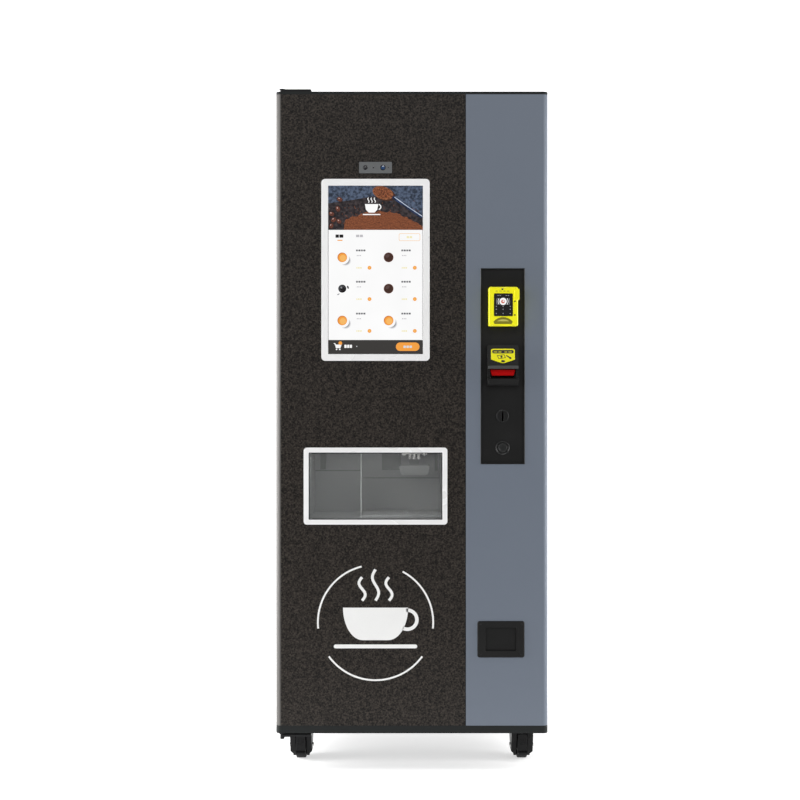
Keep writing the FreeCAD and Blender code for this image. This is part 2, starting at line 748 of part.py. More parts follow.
def containers():
    """Waste bin and water tank, side by side on the deck."""
    bin_x = (wall_left + side_clearance, wall_left + side_clearance + bin_width)
    bin_z = (deck_top, deck_top + bin_height)
    bin_shape = tub(bin_x, (machine_front, machine_front + bin_depth), bin_z, bin_wall)
    grip = block(span((bin_x[0] + bin_x[1]) / 2, 100), (machine_front - 12, machine_front),
                 (bin_z[1] - 50, bin_z[1] - 40))
    save("waste_bin", join(bin_shape, grip))
    tank_x = (wall_right - side_clearance - tank_width, wall_right - side_clearance)
    tank_y = (machine_front, machine_front + tank_depth)
    tank_z = (deck_top, deck_top + tank_height)
    upright = V(0, 0, 1)
    tank = rounded(tank_x, tank_y, tank_z, tank_corner, upright)
    inside = [grow(side, -tank_wall) for side in (tank_x, tank_y, tank_z)]
    tank = tank.cut(rounded(*inside, tank_corner - tank_wall, upright))
    neck_x = (tank_x[0] + tank_x[1]) / 2
    neck_y = machine_front + 90
    neck = rod_z(35, neck_x, neck_y, (tank_z[1] - tank_wall, tank_z[1] + 20))
    tank = join(tank, neck).cut(rod_z(32, neck_x, neck_y, (tank_z[1] - 2 * tank_wall, tank_z[1] + 21)))
    cap = join(rod_z(38, neck_x, neck_y, (tank_z[1] + 20, tank_z[1] + 30)),
               rod_z(32 - slack, neck_x, neck_y, (tank_z[1] + 8, tank_z[1] + 21)))
    save("water_tank", tank, cap)


def fan():
    """Extractor fan behind the slots of the rear panel."""
    z = roof_top - fan_drop
    y = (back - rear_inset - sheet - fan_depth, back - rear_inset - sheet)
    frame = rounded(span(fan_x, fan_size), y, span(z, fan_size), 5)
    frame = frame.cut(rod_y(fan_bore_radius, fan_x, grow(y, 1), z))
    boss = rod_y(18, fan_x, (y[0], y[0] + 5), z)
    shaft = rod_y(fan_shaft_radius, fan_x, (y[0], y[0] + 20), z)
    struts = []
    for i in range(3):
        strut = block(span(fan_x, 5), (y[0], y[0] + 4), (z + 15, z + fan_bore_radius + 1))
        strut.rotate(V(fan_x, 0, z), V(0, 1, 0), 120 * i)
        struts.append(strut)
    save("fan_frame", join(frame, boss, shaft, *struts))
    hub = rod_y(20, fan_x, (y[0] + 6, y[1] - 2), z)
    blades = []
    for i in range(7):
        blade = block(span(fan_x, 30), span((y[0] + y[1]) / 2 + 2, 1.6), (z + 17, z + fan_bore_radius - 3))
        blade.rotate(V(fan_x, (y[0] + y[1]) / 2 + 2, z + 35), V(0, 0, 1), 28)
        blade.rotate(V(fan_x, 0, z), V(0, 1, 0), 360 / 7 * i)
        blades.append(blade)
    rotor = join(hub, *blades)
    save("fan_rotor", rotor.cut(rod_y(fan_shaft_radius + running, fan_x, (y[0] + 5, y[0] + 20.5), z)))


def cable_gland():
    """Strain-relief gland for the mains lead, in the inset rear panel."""
    x = half_width - gland_inset
    z = underside + gland_rise
    face = back - rear_inset
    nut = rod_y(gland_radius, x, (face, face + gland_length), z)
    neck = rod_y(gland_radius - 2 - slack, x, (face - 3 * sheet, face), z)
    locknut = rod_y(gland_radius, x, (face - sheet - 6, face - sheet), z)
    gland = join(nut, neck, locknut)
    save("cable_gland", gland.cut(rod_y(gland_bore_radius, x, (face - 20, face + 20), z)))


# ---------------------------------------------------------------- door
def bent_panel(side, inner_edge):
    """Front skin that turns round the door's vertical edge and runs back along its side."""
    edge = side * half_width
    z = (panel_low, panel_high)
    turn = V(edge - side * edge_radius, door_front + edge_radius, 0)
    diagonal = V(side, -1, 0).normalize()
    radius = edge_radius - sheet

    def arc(r, first, last):
        return Part.Arc(first, turn + diagonal * r, last).toShape()

    a = V(inner_edge, door_front, 0)
    b = V(turn.x, door_front, 0)
    c = V(edge, turn.y, 0)
    d = V(edge, door_back, 0)
    e = V(edge - side * sheet, door_back, 0)
    f = V(edge - side * sheet, turn.y, 0)
    g = V(turn.x, door_front + sheet, 0)
    h = V(inner_edge, door_front + sheet, 0)
    edges = [Part.makeLine(a, b), arc(edge_radius, b, c), Part.makeLine(c, d), Part.makeLine(d, e),
             Part.makeLine(e, f), arc(radius, f, g), Part.makeLine(g, h), Part.makeLine(h, a)]
    face = Part.Face(Part.Wire(edges))
    face.translate(V(0, 0, z[0]))
    return face.extrude(V(0, 0, z[1] - z[0]))


def door_panels():
    through = (door_front - 1, door_front + sheet + 1)
    dark = bent_panel(-1, panel_split - panel_gap / 2)
    dark = dark.cut(block(grow(window_x, sheet), through, grow(window_z, sheet)))
    dark = dark.cut(block(span(feature_x, screen_width + 1), through,
                          span(underside + screen_level, screen_height + 1)))
    dark = dark.cut(block(span(feature_x, camera_width - 2 * camera_lip), through,
                          span(underside + camera_level, camera_height - camera_lip)))
    save("dark_front_panel", dark)
    grey = bent_panel(1, panel_split + panel_gap / 2)
    grey = grey.cut(block(span(payment_x, payment_width - 2), through,
                          span(underside + payment_level, payment_height - 2)))
    grey = grey.cut(block(span(cup_x(), cup_flange_width - cup_lip), through,
                          span(underside + cup_level, cup_flange_height - cup_lip)))
    grey = grey.cut(rod_x(lock_radius + slack, (half_width - 2 * sheet, half_width + 1), lock_y, lock_z))
    save("grey_front_panel", grey)


def rounded_cap(z):
    """Level slab with the door's plan: square at the back, rounded at the two front corners."""
    slab = block((-half_width, half_width), (door_front, door_back), z)
    front = [edge for edge in edges_along(slab, V(0, 0, 1)) if edge.Vertexes[0].Y < door_front + 1]
    return slab.makeFillet(edge_radius, front)


def door_frame():
    """Welded frame: hollow stiles and rails, a mullion behind the panel joint, a cap and a sill."""
    y = (door_front + edge_radius + 1, door_back)
    z = (panel_low, panel_high)
    left = hollow_bar((wall_left, wall_left + stile_width), y, z, sheet)
    right = hollow_bar((wall_right - stile_width, wall_right), y, z, sheet)
    x = (wall_left + stile_width, wall_right - stile_width)
    upper = hollow_bar(x, y, (z[1] - stile_width, z[1]), sheet)
    lower = hollow_bar(x, y, (z[0], z[0] + stile_width), sheet)
    skin_back = door_front + sheet
    mullion = block(span(panel_split, mullion_width), (skin_back, skin_back + mullion_depth), z)
    lug_x = span(hinge_x, hinge_block)
    lug_y = span(hinge_y, hinge_block)
    lug_high = block(lug_x, lug_y, (door_top - pin_depth - 2, z[1]))
    lug_low = block(lug_x, lug_y, (z[0], door_bottom + pin_depth + 2))
    cap = rounded_cap((z[1], door_top))
    sill = rounded_cap((door_bottom, z[0]))
    frame = join(left, right, upper, lower, mullion, cap, sill, lug_high, lug_low)
    hole = hinge_pin_radius + running
    frame = frame.cut(rod_z(hole, hinge_x, hinge_y, (door_top - pin_depth - 1, door_top + 1)))
    frame = frame.cut(rod_z(hole, hinge_x, hinge_y, (door_bottom - 1, door_bottom + pin_depth + 1)))
    lock_hole = rod_x(lock_radius + slack, (wall_right - stile_width - 1, wall_right + 1), lock_y, lock_z)
    save("door_frame", frame.cut(lock_hole))


def gasket():
    x = grow((-half_width, half_width), -gasket_inset)
    low = panel_low + stile_width - gasket_width - 1
    high = panel_high - stile_width + gasket_width + 1
    y = (door_back, cabinet_front - slack)
    save("door_gasket", ring(x, y, (low, high), gasket_width, 4))


def screen():
    z = span(underside + screen_level, screen_height)
    x = span(feature_x, screen_width)
    bezel = ring(grow(x, bezel_border), (door_front - trim_proud, door_front), grow(z, bezel_border),
                 bezel_border, bezel_radius)
    save("screen_bezel", bezel)
    skin_back = door_front + sheet
    glass = block(grow(x, -slack), (door_front - 1, skin_back), grow(z, -slack))
    module = block(grow(x, screen_module_rim), (skin_back, skin_back + screen_module_depth),
                   grow(z, screen_module_rim))
    save("touch_screen", join(glass, module))


def camera_bar():
    z = underside + camera_level
    face = rounded(span(feature_x, camera_width), (door_front - 2.5, door_front), span(z, camera_height), 3)
    body_y = (door_front, door_front + camera_body_depth)
    body_x = span(feature_x, camera_width - 2 * camera_lip - 1)
    body = block(body_x, body_y, span(z, camera_height - camera_lip - 1))
    bar = join(face, body)
    for offset, radius in ((-29, 6.5), (21, 8)):
        bar = bar.cut(rod_y(radius, feature_x + offset, (door_front - 4, door_front - 0.5), z))
    save("camera_bar", bar)


def window():
    """Window frame on the skin, rails and tunnel behind it, and the pane that lifts between them."""
    face = ring(grow(window_x, window_border), (door_front - trim_proud, door_front),
                grow(window_z, window_border), window_border, window_radius)
    collar_y = (door_front - 1, door_front + window_collar)
    collar = block(grow(window_x, sheet), collar_y, grow(window_z, sheet))
    collar = collar.cut(block(window_x, grow(collar_y, 1), window_z))
    save("window_frame", join(face, collar))

    pane_x = grow(window_x, pane_overlap)
    pane_z = grow(window_z, pane_overlap)
    save("window_pane", block(pane_x, pane_y, pane_z))

    rails = []
    for side in (-1, 1):
        near = feature_x + side * (window_width / 2 + sheet)
        far = near + side * rail_width
        rail = block(sorted((near, far)), (door_front + sheet, rail_back),
                     (pane_z[0] - sheet, pane_z[1] + pane_travel + sheet))
        groove = block(sorted((near - side, feature_x + side * (window_width / 2 + pane_overlap + slack))),
                       grow(pane_y, slack), (pane_z[0], pane_z[1] + pane_travel + 2 * sheet))
        rails.append(rail.cut(groove))
    outer = block(grow(tunnel_x, sheet), (rail_back, door_back - 1), grow(tunnel_z, sheet))
    tunnel = outer.cut(block(tunnel_x, (rail_back - 1, door_back), tunnel_z))
    save("window_tunnel", tunnel, *rails)


def payment_panel():
    """Recessed black plate with a thin raised rim; the reader, validator and coin parts pass through it."""
    x = span(payment_x, payment_width)
    z = span(underside + payment_level, payment_height)
    rim = block(x, (door_front - payment_rim_proud, door_front), z)
    wall = block(grow(x, -1.2), (door_front, door_front + payment_recess + payment_plate), grow(z, -1.2))
    well = block(grow(x, -payment_rim), (door_front - 2, door_front + payment_recess), grow(z, -payment_rim))
    plate = join(rim, wall).cut(well)
    through = (door_front, door_front + payment_recess + payment_plate + 1)
    for width, height, level in ((reader_width - 20, reader_height - 20, reader_level),
                                 (validator_width - 8, validator_height - 8, validator_level)):
        plate = plate.cut(block(span(payment_x, width), through, span(underside + level, height)))
    plate = plate.cut(rod_y(coin_disc_radius - 4, payment_x, through, underside + coin_level))
    face = door_front + payment_recess
    collar = rod_y(button_ring, payment_x, (face - 2, face), underside + button_level)
    collar = collar.makeFillet(1.2, [collar.Edges[0]])
    hole = rod_y(button_radius + slack, payment_x, (door_front - 2, through[1]), underside + button_level)
    save("payment_panel", join(plate, collar).cut(hole))


def card_reader():
    """Contactless reader: rounded body with a sunk display and a swipe hump on its right side."""
    seat = door_front + payment_recess
    front = -body_depth / 2
    x = span(payment_x, reader_width)
    z = span(underside + reader_level, reader_height)
    face = front + reader_hump_proud
    body = rounded(x, (face, seat), z, reader_corner)
    rim = [edge for edge in body.Edges if abs(edge.BoundBox.YMax - face) < 0.01]
    body = body.makeFillet(3, rim)
    hump = rounded((x[1] - 10, x[1] + 3.5), (front, front + 14), (z[1] - 37, z[1] - 6), 3)
    body = join(body, hump)
    screen_x = span(payment_x, display_width)
    screen_z = span(underside + reader_level + display_rise, display_height)
    body = body.cut(rounded(screen_x, (front, face + display_recess), screen_z, 4))
    back_box = block(span(payment_x, reader_width - 24), (seat, seat + reader_back_depth),
                     span(underside + reader_level, reader_height - 24))
    save("card_reader", join(body, back_box))


def bill_validator():
    """Note acceptor: sloping label face, a ledge over the throat, and a chin below it."""
    seat = door_front + payment_recess
    z = span(underside + validator_level, validator_height)
    top = z[1]
    label_face = [(seat - 8, top), (seat - 18, top - 56)]
    ledge = [(seat - 22, top - 61), (seat - 22, top - 67)]
    throat = [(seat - 4, top - 69), (seat - 6, top - 93)]
    chin = [(seat - 26, top - 96), (seat - 22, z[0] + 4), (seat - 16, z[0])]
    profile = [(seat, top), *label_face, *ledge, *throat, *chin, (seat, z[0])]
    solid = extrude_x(profile, span(payment_x, validator_width))
    cheeks = []
    for side in (-1, 1):
        x = sorted((payment_x + side * throat_width / 2, payment_x + side * validator_width / 2))
        cheeks.append(block(x, (seat - 14, seat), (top - 97, top - 66)))
    body = block(span(payment_x, validator_width - 9), (seat, seat + validator_body_depth - 8),
                 grow(z, -4.5))
    slot = block(span(payment_x, throat_width - 8), (seat - 12, seat + 50), span(top - 90, 5))
    save("bill_validator", join(solid, *cheeks, body).cut(slot))


def coin_parts():
    seat = door_front + payment_recess
    z = underside + coin_level
    disc = rod_y(coin_disc_radius, payment_x, (seat - 2.5, seat), z)
    disc = disc.makeFillet(1.2, [disc.Edges[0]])
    chute_y = (seat, seat + coin_chute_depth)
    boss_radius = coin_disc_radius - 4 - slack
    boss = rod_y(boss_radius, payment_x, (seat, seat + 6), z)
    chute = block(span(payment_x, 16), chute_y, span(z, coin_slot_height + 4))
    chute = chute.common(rod_y(boss_radius, payment_x, chute_y, z))
    slot = block(span(payment_x, coin_slot_width), (seat - 4, chute_y[1] - 5), span(z, coin_slot_height - 4))
    save("coin_entry", join(disc, boss, chute).cut(slot))

    button_z = underside + button_level
    button = rod_y(button_radius, payment_x, (seat - 4, seat - 4 + button_length), button_z)
    button = button.makeFillet(1.5, [button.Edges[0]])
    save("coin_return_button", button)


def cup_x():
    return payment_x + cup_offset


def coin_cup():
    """Coin return: a flanged cup in the skin with a flap hung from pins at its top edge."""
    x = span(cup_x(), cup_flange_width)
    z = span(underside + cup_level, cup_flange_height)
    flange = rounded(x, (door_front - cup_flange_proud, door_front), z, 6)
    rim = [edge for edge in flange.Edges if abs(edge.BoundBox.YMax - flange.BoundBox.YMin) < 0.01]
    flange = flange.makeChamfer(1.5, rim)
    inner_x = span(cup_x(), cup_open_width + 6)
    opening_z = span(underside + cup_level, cup_open_height)
    inner_z = (opening_z[0] - 3, opening_z[1] + 8)
    box = block(grow(inner_x, 4), (door_front, door_front + cup_depth), grow(inner_z, 3))
    cup = join(flange, box).cut(block(inner_x, (door_front + 2, door_front + cup_depth - 3), inner_z))
    cup = cup.cut(block(span(cup_x(), cup_open_width), (door_front - 3, door_front + 3), opening_z))
    pin_y = door_front + 2 + slack + flap_thickness / 2 + 0.7
    pin_z = inner_z[1] - 5
    cup = cup.cut(rod_x(flap_pin_radius + running, grow(inner_x, 3.5), pin_y, pin_z))
    save("coin_return_cup", cup)
    flap_z = (inner_z[0] + 1, pin_z)
    flap = block(grow(inner_x, -1), span(pin_y, flap_thickness), flap_z)
    barrel = rod_x(flap_thickness / 2 + 1, grow(inner_x, -1), pin_y, pin_z)
    pins = rod_x(flap_pin_radius, grow(inner_x, 3), pin_y, pin_z)
    save("coin_return_flap", join(flap, barrel, pins))


def side_lock():
    """Turn handle in a round pocket in the door's right side, with a cam that hooks into the cabinet."""
    outer = half_width - slack
    inner = outer - lock_depth
    pocket = rod_x(lock_radius, (inner, outer), lock_y, lock_z)
    pocket = pocket.cut(rod_x(lock_pocket_radius, (inner + 4, outer + 1), lock_y, lock_z))
    pocket = pocket.cut(rod_x(lock_spindle_radius + running, (inner - 1, outer), lock_y, lock_z))
    save("lock_body", pocket)
    bar_x = (inner + 5, outer - 2)
    bar = rounded(bar_x, span(lock_y, 12), span(lock_z, lock_bar_length), 5, V(1, 0, 0))
    cam_x = (half_width - cam_inset - cam_thickness, half_width - cam_inset)
    spindle = rod_x(lock_spindle_radius, (cam_x[0], bar_x[0] + 1), lock_y, lock_z)
    cam = rounded(cam_x, span(lock_y, cam_width), (lock_z - 12, lock_z + cam_reach), 5, V(1, 0, 0))
    save("lock_handle", join(bar, spindle, cam))


# ---------------------------------------------------------------- casters
def caster_places():
    x = half_width - caster_inset
    front = cabinet_front + front_kingpin
    rear = back - rear_kingpin
    return {"front_left": (-x, front), "front_right": (x, front),
            "rear_left": (-x, rear), "rear_right": (x, rear)}


def caster_fork(x, y):
    """Hooded fork: legs that taper to a narrower foot, and the axle across them."""
    top = underside - caster_plate - swivel_ring_height - 0.5
    crown_low = top - fork_crown
    axle_y = y - caster_trail
    front = axle_y - wheel_radius + 2.5
    leg = [(front, top), (y + 28, top), (y + 28, crown_low), (axle_y + 20, 22), (axle_y + 9, 8),
           (axle_y - 9, 8), (axle_y - 18, 22), (front, crown_low - 14)]
    fork = extrude_x(leg, span(x, fork_width))
    gap = block(span(x, wheel_width + 3), (y - 100, y + 100), (0, crown_low))
    fork = fork.cut(gap)
    foot_z = (14, 22)
    for side in (-1, 1):
        foot_x = x + side * fork_foot_width / 2
        beyond = x + side * fork_width
        wedge = [(x + side * fork_width / 2, foot_z[1]), (foot_x, foot_z[0]), (foot_x, 0), (beyond, 0),
                 (beyond, foot_z[1])]
        fork = fork.cut(extrude_y(wedge, (y - 100, y + 100)))
    fork = fork.cut(rod_z(kingpin_radius + running, x, y, (0, top + 1)))
    fork = fork.cut(rod_x(axle_radius, span(x, fork_width + 2), axle_y, wheel_radius))
    axle = rod_x(axle_radius, span(x, fork_width + 1), axle_y, wheel_radius)
    pedal_pin = rod_x(2.5, span(x, fork_width - 6), front + 7.5, crown_low - 8)
    return [fork.cut(pedal_pin), axle], pedal_pin


def caster_wheel(x, y):
    axle_y = y - caster_trail
    tyre = rod_x(wheel_radius, span(x, wheel_width), axle_y, wheel_radius)
    rims = [edge for edge in tyre.Edges if isinstance(edge.Curve, Part.Circle)]
    tyre = tyre.makeFillet(4, rims)
    for side in (-1, 1):
        dish_x = sorted((x + side * (wheel_width / 2 - 4), x + side * (wheel_width / 2 + 1)))
        dish = rod_x(wheel_radius - 9, dish_x, axle_y, wheel_radius)
        hub = rod_x(axle_radius + 6, dish_x, axle_y, wheel_radius)
        tyre = tyre.cut(dish.cut(hub))
    return tyre.cut(rod_x(axle_radius + running, span(x, wheel_width + 4), axle_y, wheel_radius))


def brake_pedal(x, y):
    """Toe plate hung from a pin across the fork, ahead of the wheel."""
    front = y - caster_trail - wheel_radius + 2.5
    pin_y = front + 7.5
    pin_z = underside - caster_plate - swivel_ring_height - 0.5 - fork_crown - 8
    plate_y = (front - 8.5, front - 4.5)
    barrel = rod_x(5, span(x, pedal_width), pin_y, pin_z)
    bridge = block(span(x, pedal_width), (plate_y[0], pin_y), (pin_z - 2, pin_z + 5))
    plate = block(span(x, pedal_width), plate_y, (24, pin_z + 5))
    toe = block(span(x, pedal_width), (plate_y[0] - 8, plate_y[1]), (22, 27))
    pedal = join(barrel, bridge, plate, toe)
    return pedal.cut(rod_x(2.5 + running, span(x, pedal_width + 2), pin_y, pin_z))


def casters():
    plates = []
    for place, (x, y) in caster_places().items():
        z = (underside - caster_plate, underside)
        plate = rounded(span(x, caster_plate_size), span(y, caster_plate_size), z, 6, V(0, 0, 1))
        race = rod_z(swivel_ring_radius, x, y, (z[0] - swivel_ring_height, z[0]))
        kingpin = rod_z(kingpin_radius, x, y, (z[0] - swivel_ring_height - fork_crown, z[0]))
        plates.append(join(plate, race, kingpin))
        fork, pedal_pin = caster_fork(x, y)
        if place.startswith("front"):
            fork.append(pedal_pin)
            save("brake_pedal_" + place.split("_")[1], brake_pedal(x, y))
        save("caster_fork_" + place, *fork)
        save("caster_wheel_" + place, caster_wheel(x, y))
    save("caster_plates", *plates)


os.makedirs("parts", exist_ok=True)
base()
cabinet_walls()
hinges()
shelves()
chamber()
spout()
brewer()
grinder()
hopper()
canisters()
mixer()
turret()
boiler()
control_box()
containers()
fan()
cable_gland()
door_panels()
door_frame()
gasket()
screen()
camera_bar()
window()
payment_panel()
card_reader()
bill_validator()
coin_parts()
coin_cup()
side_lock()
casters()
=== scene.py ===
import bmesh
import bpy
import json
import math
import random
from mathutils import Matrix, Vector


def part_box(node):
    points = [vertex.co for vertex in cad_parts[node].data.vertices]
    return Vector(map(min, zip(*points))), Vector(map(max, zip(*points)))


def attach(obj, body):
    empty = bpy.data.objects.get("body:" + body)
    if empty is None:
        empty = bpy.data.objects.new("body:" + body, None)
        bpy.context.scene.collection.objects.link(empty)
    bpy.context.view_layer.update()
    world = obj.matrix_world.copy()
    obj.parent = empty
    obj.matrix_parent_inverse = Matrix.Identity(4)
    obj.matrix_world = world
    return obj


# Hot coffee vending machine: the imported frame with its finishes, artwork and small fittings.
# Sizes are in millimetres unless a line says otherwise; MM turns them into metres.

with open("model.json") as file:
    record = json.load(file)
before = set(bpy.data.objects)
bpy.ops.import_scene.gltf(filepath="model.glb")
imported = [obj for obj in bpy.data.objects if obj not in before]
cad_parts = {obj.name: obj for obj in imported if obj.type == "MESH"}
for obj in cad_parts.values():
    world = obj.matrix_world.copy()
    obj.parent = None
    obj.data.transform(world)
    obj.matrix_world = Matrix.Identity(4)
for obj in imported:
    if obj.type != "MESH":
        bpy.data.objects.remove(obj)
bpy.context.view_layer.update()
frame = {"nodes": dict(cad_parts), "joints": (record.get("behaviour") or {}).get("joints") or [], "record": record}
slot_of = {part["node"]: part["material_slot"] for part in frame["record"]["subparts"]}
MM = 0.001
EDGE = 0.015    # metres, radius of the door's rounded vertical edges
X, Y, Z = Vector((1, 0, 0)), Vector((0, 1, 0)), Vector((0, 0, 1))
CORNERS = ("front_left", "front_right", "rear_left", "rear_right")

CAMERA_PLACE = (-0.0338, -3.948, 1.0473)    # metres
CAMERA_LENS = 57.78
WORLD_GLOW = 0.16
# Name, place and target in metres, width and height in metres, power in watts.
LIGHTS = (
    ("left_softbox", (-3.4, -3.6, 2.0), (0, 0, 1.1), 1.6, 2.0, 58),
    ("right_softbox", (3.4, -3.6, 2.0), (0, 0, 1.1), 1.6, 2.0, 58),
    ("high_softbox", (0, -4.4, 4.4), (0, 0, 1.4), 2.4, 1.2, 52),
    ("left_strip", (-2.1, -0.35, 1.15), (0, -0.1, 1.1), 0.8, 2.1, 90),
    ("right_strip", (2.2, -0.4, 1.15), (0, -0.1, 1.1), 0.6, 2.1, 50),
)

PICTURE_WIDTH, PICTURE_HEIGHT = 268, 476
MENU_TOP, MENU_END = 125, 436       # the screen's banner ends and its dark bar begins, from the top
PICTURE_INSET = 19                  # from the bezel's outer edge to the lit picture
EMBLEM_DROP = 277                   # from the window frame's lower edge to the emblem's centre


def box_mm(node):
    low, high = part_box(node)
    return low / MM, high / MM


def middle(node):
    """Centre of a node, in mm."""
    low, high = box_mm(node)
    return [(a + b) / 2 for a, b in zip(low, high)]


def payment_seat():
    """Depth of the sunk face that the payment devices stand on."""
    rim_proud, recess = 0.8, 4.0
    return box_mm("payment_panel")[0].y + rim_proud + recess


# ---- camera, lights and stage
def area_light(name, place, target, width, height, power):
    data = bpy.data.lights.new(name, "AREA")
    data.shape = "RECTANGLE"
    data.size = width
    data.size_y = height
    data.energy = power
    lamp = bpy.data.objects.new(name, data)
    bpy.context.scene.collection.objects.link(lamp)
    lamp.location = place
    lamp.rotation_euler = (Vector(target) - lamp.location).to_track_quat("-Z", "Y").to_euler()


def studio():
    scene = bpy.context.scene
    scene.view_settings.view_transform = "Standard"
    data = bpy.data.cameras.new("camera")
    data.lens = CAMERA_LENS
    camera = bpy.data.objects.new("camera", data)
    scene.collection.objects.link(camera)
    camera.location = CAMERA_PLACE
    camera.rotation_euler = (math.pi / 2, 0, 0)
    scene.camera = camera

    world = bpy.data.worlds.new("studio")
    scene.world = world
    world.use_nodes = True
    sky = world.node_tree.nodes["Background"]
    sky.inputs["Color"].default_value = (1, 1, 1, 1)
    sky.inputs["Strength"].default_value = WORLD_GLOW
    for light in LIGHTS:
        area_light(*light)


def backdrop():
    """Pale floor that turns up into a pale wall far behind the machine, in metres."""
    half, front, rear, top, turn, steps = 7.0, -8.0, 4.5, 6.0, 1.5, 12
    profile = [(front, 0.0), (rear - turn, 0.0)]
    for i in range(1, steps + 1):
        angle = math.pi / 2 * i / steps
        profile.append((rear - turn + turn * math.sin(angle), turn - turn * math.cos(angle)))
    profile.append((rear, top))
    bm = bmesh.new()
    rows = [[bm.verts.new((side * half, y, z)) for y, z in profile] for side in (-1, 1)]
    for i in range(len(profile) - 1):
        bm.faces.new((rows[0][i], rows[1][i], rows[1][i + 1], rows[0][i + 1])).smooth = True
    mesh = bpy.data.meshes.new("backdrop")
    bm.to_mesh(mesh)
    bm.free()
    sweep = bpy.data.objects.new("backdrop", mesh)
    bpy.context.scene.collection.objects.link(sweep)
    paper = Finish("backdrop_paper", (0.8, 0.8, 0.8), 0.9)
    tone = paper.blend(paper.axis("Y", -2.2, -0.7), (0.4, 0.4, 0.4), (0.62, 0.62, 0.62))
    fibre = paper.spread(paper.noise(60, 2), 0.3, 0.7, 0, 0.05)
    paper.link(paper.blend(fibre, tone, (0.7, 0.7, 0.7)), "Base Color")
    paper.put("Emission Color", (1, 1, 1, 1))
    # Glow rising from the front of the floor towards the machine and the wall: painted light that lightens the
    # machine's shadow on the floor.
    paper.link(paper.axis("Y", -1.1, 0.5), "Emission Strength")
    mesh.materials.append(paper.material)


# ---- finishes
def lin(r, g, b):
    """Linear colour of a display colour given from 0 to 255."""
    return tuple(c / 3294.6 if c <= 10.3 else ((c / 255 + 0.055) / 1.055) ** 2.4 for c in (r, g, b))


def tint(colour, factor):
    return tuple(min(1.0, c * factor) for c in colour)


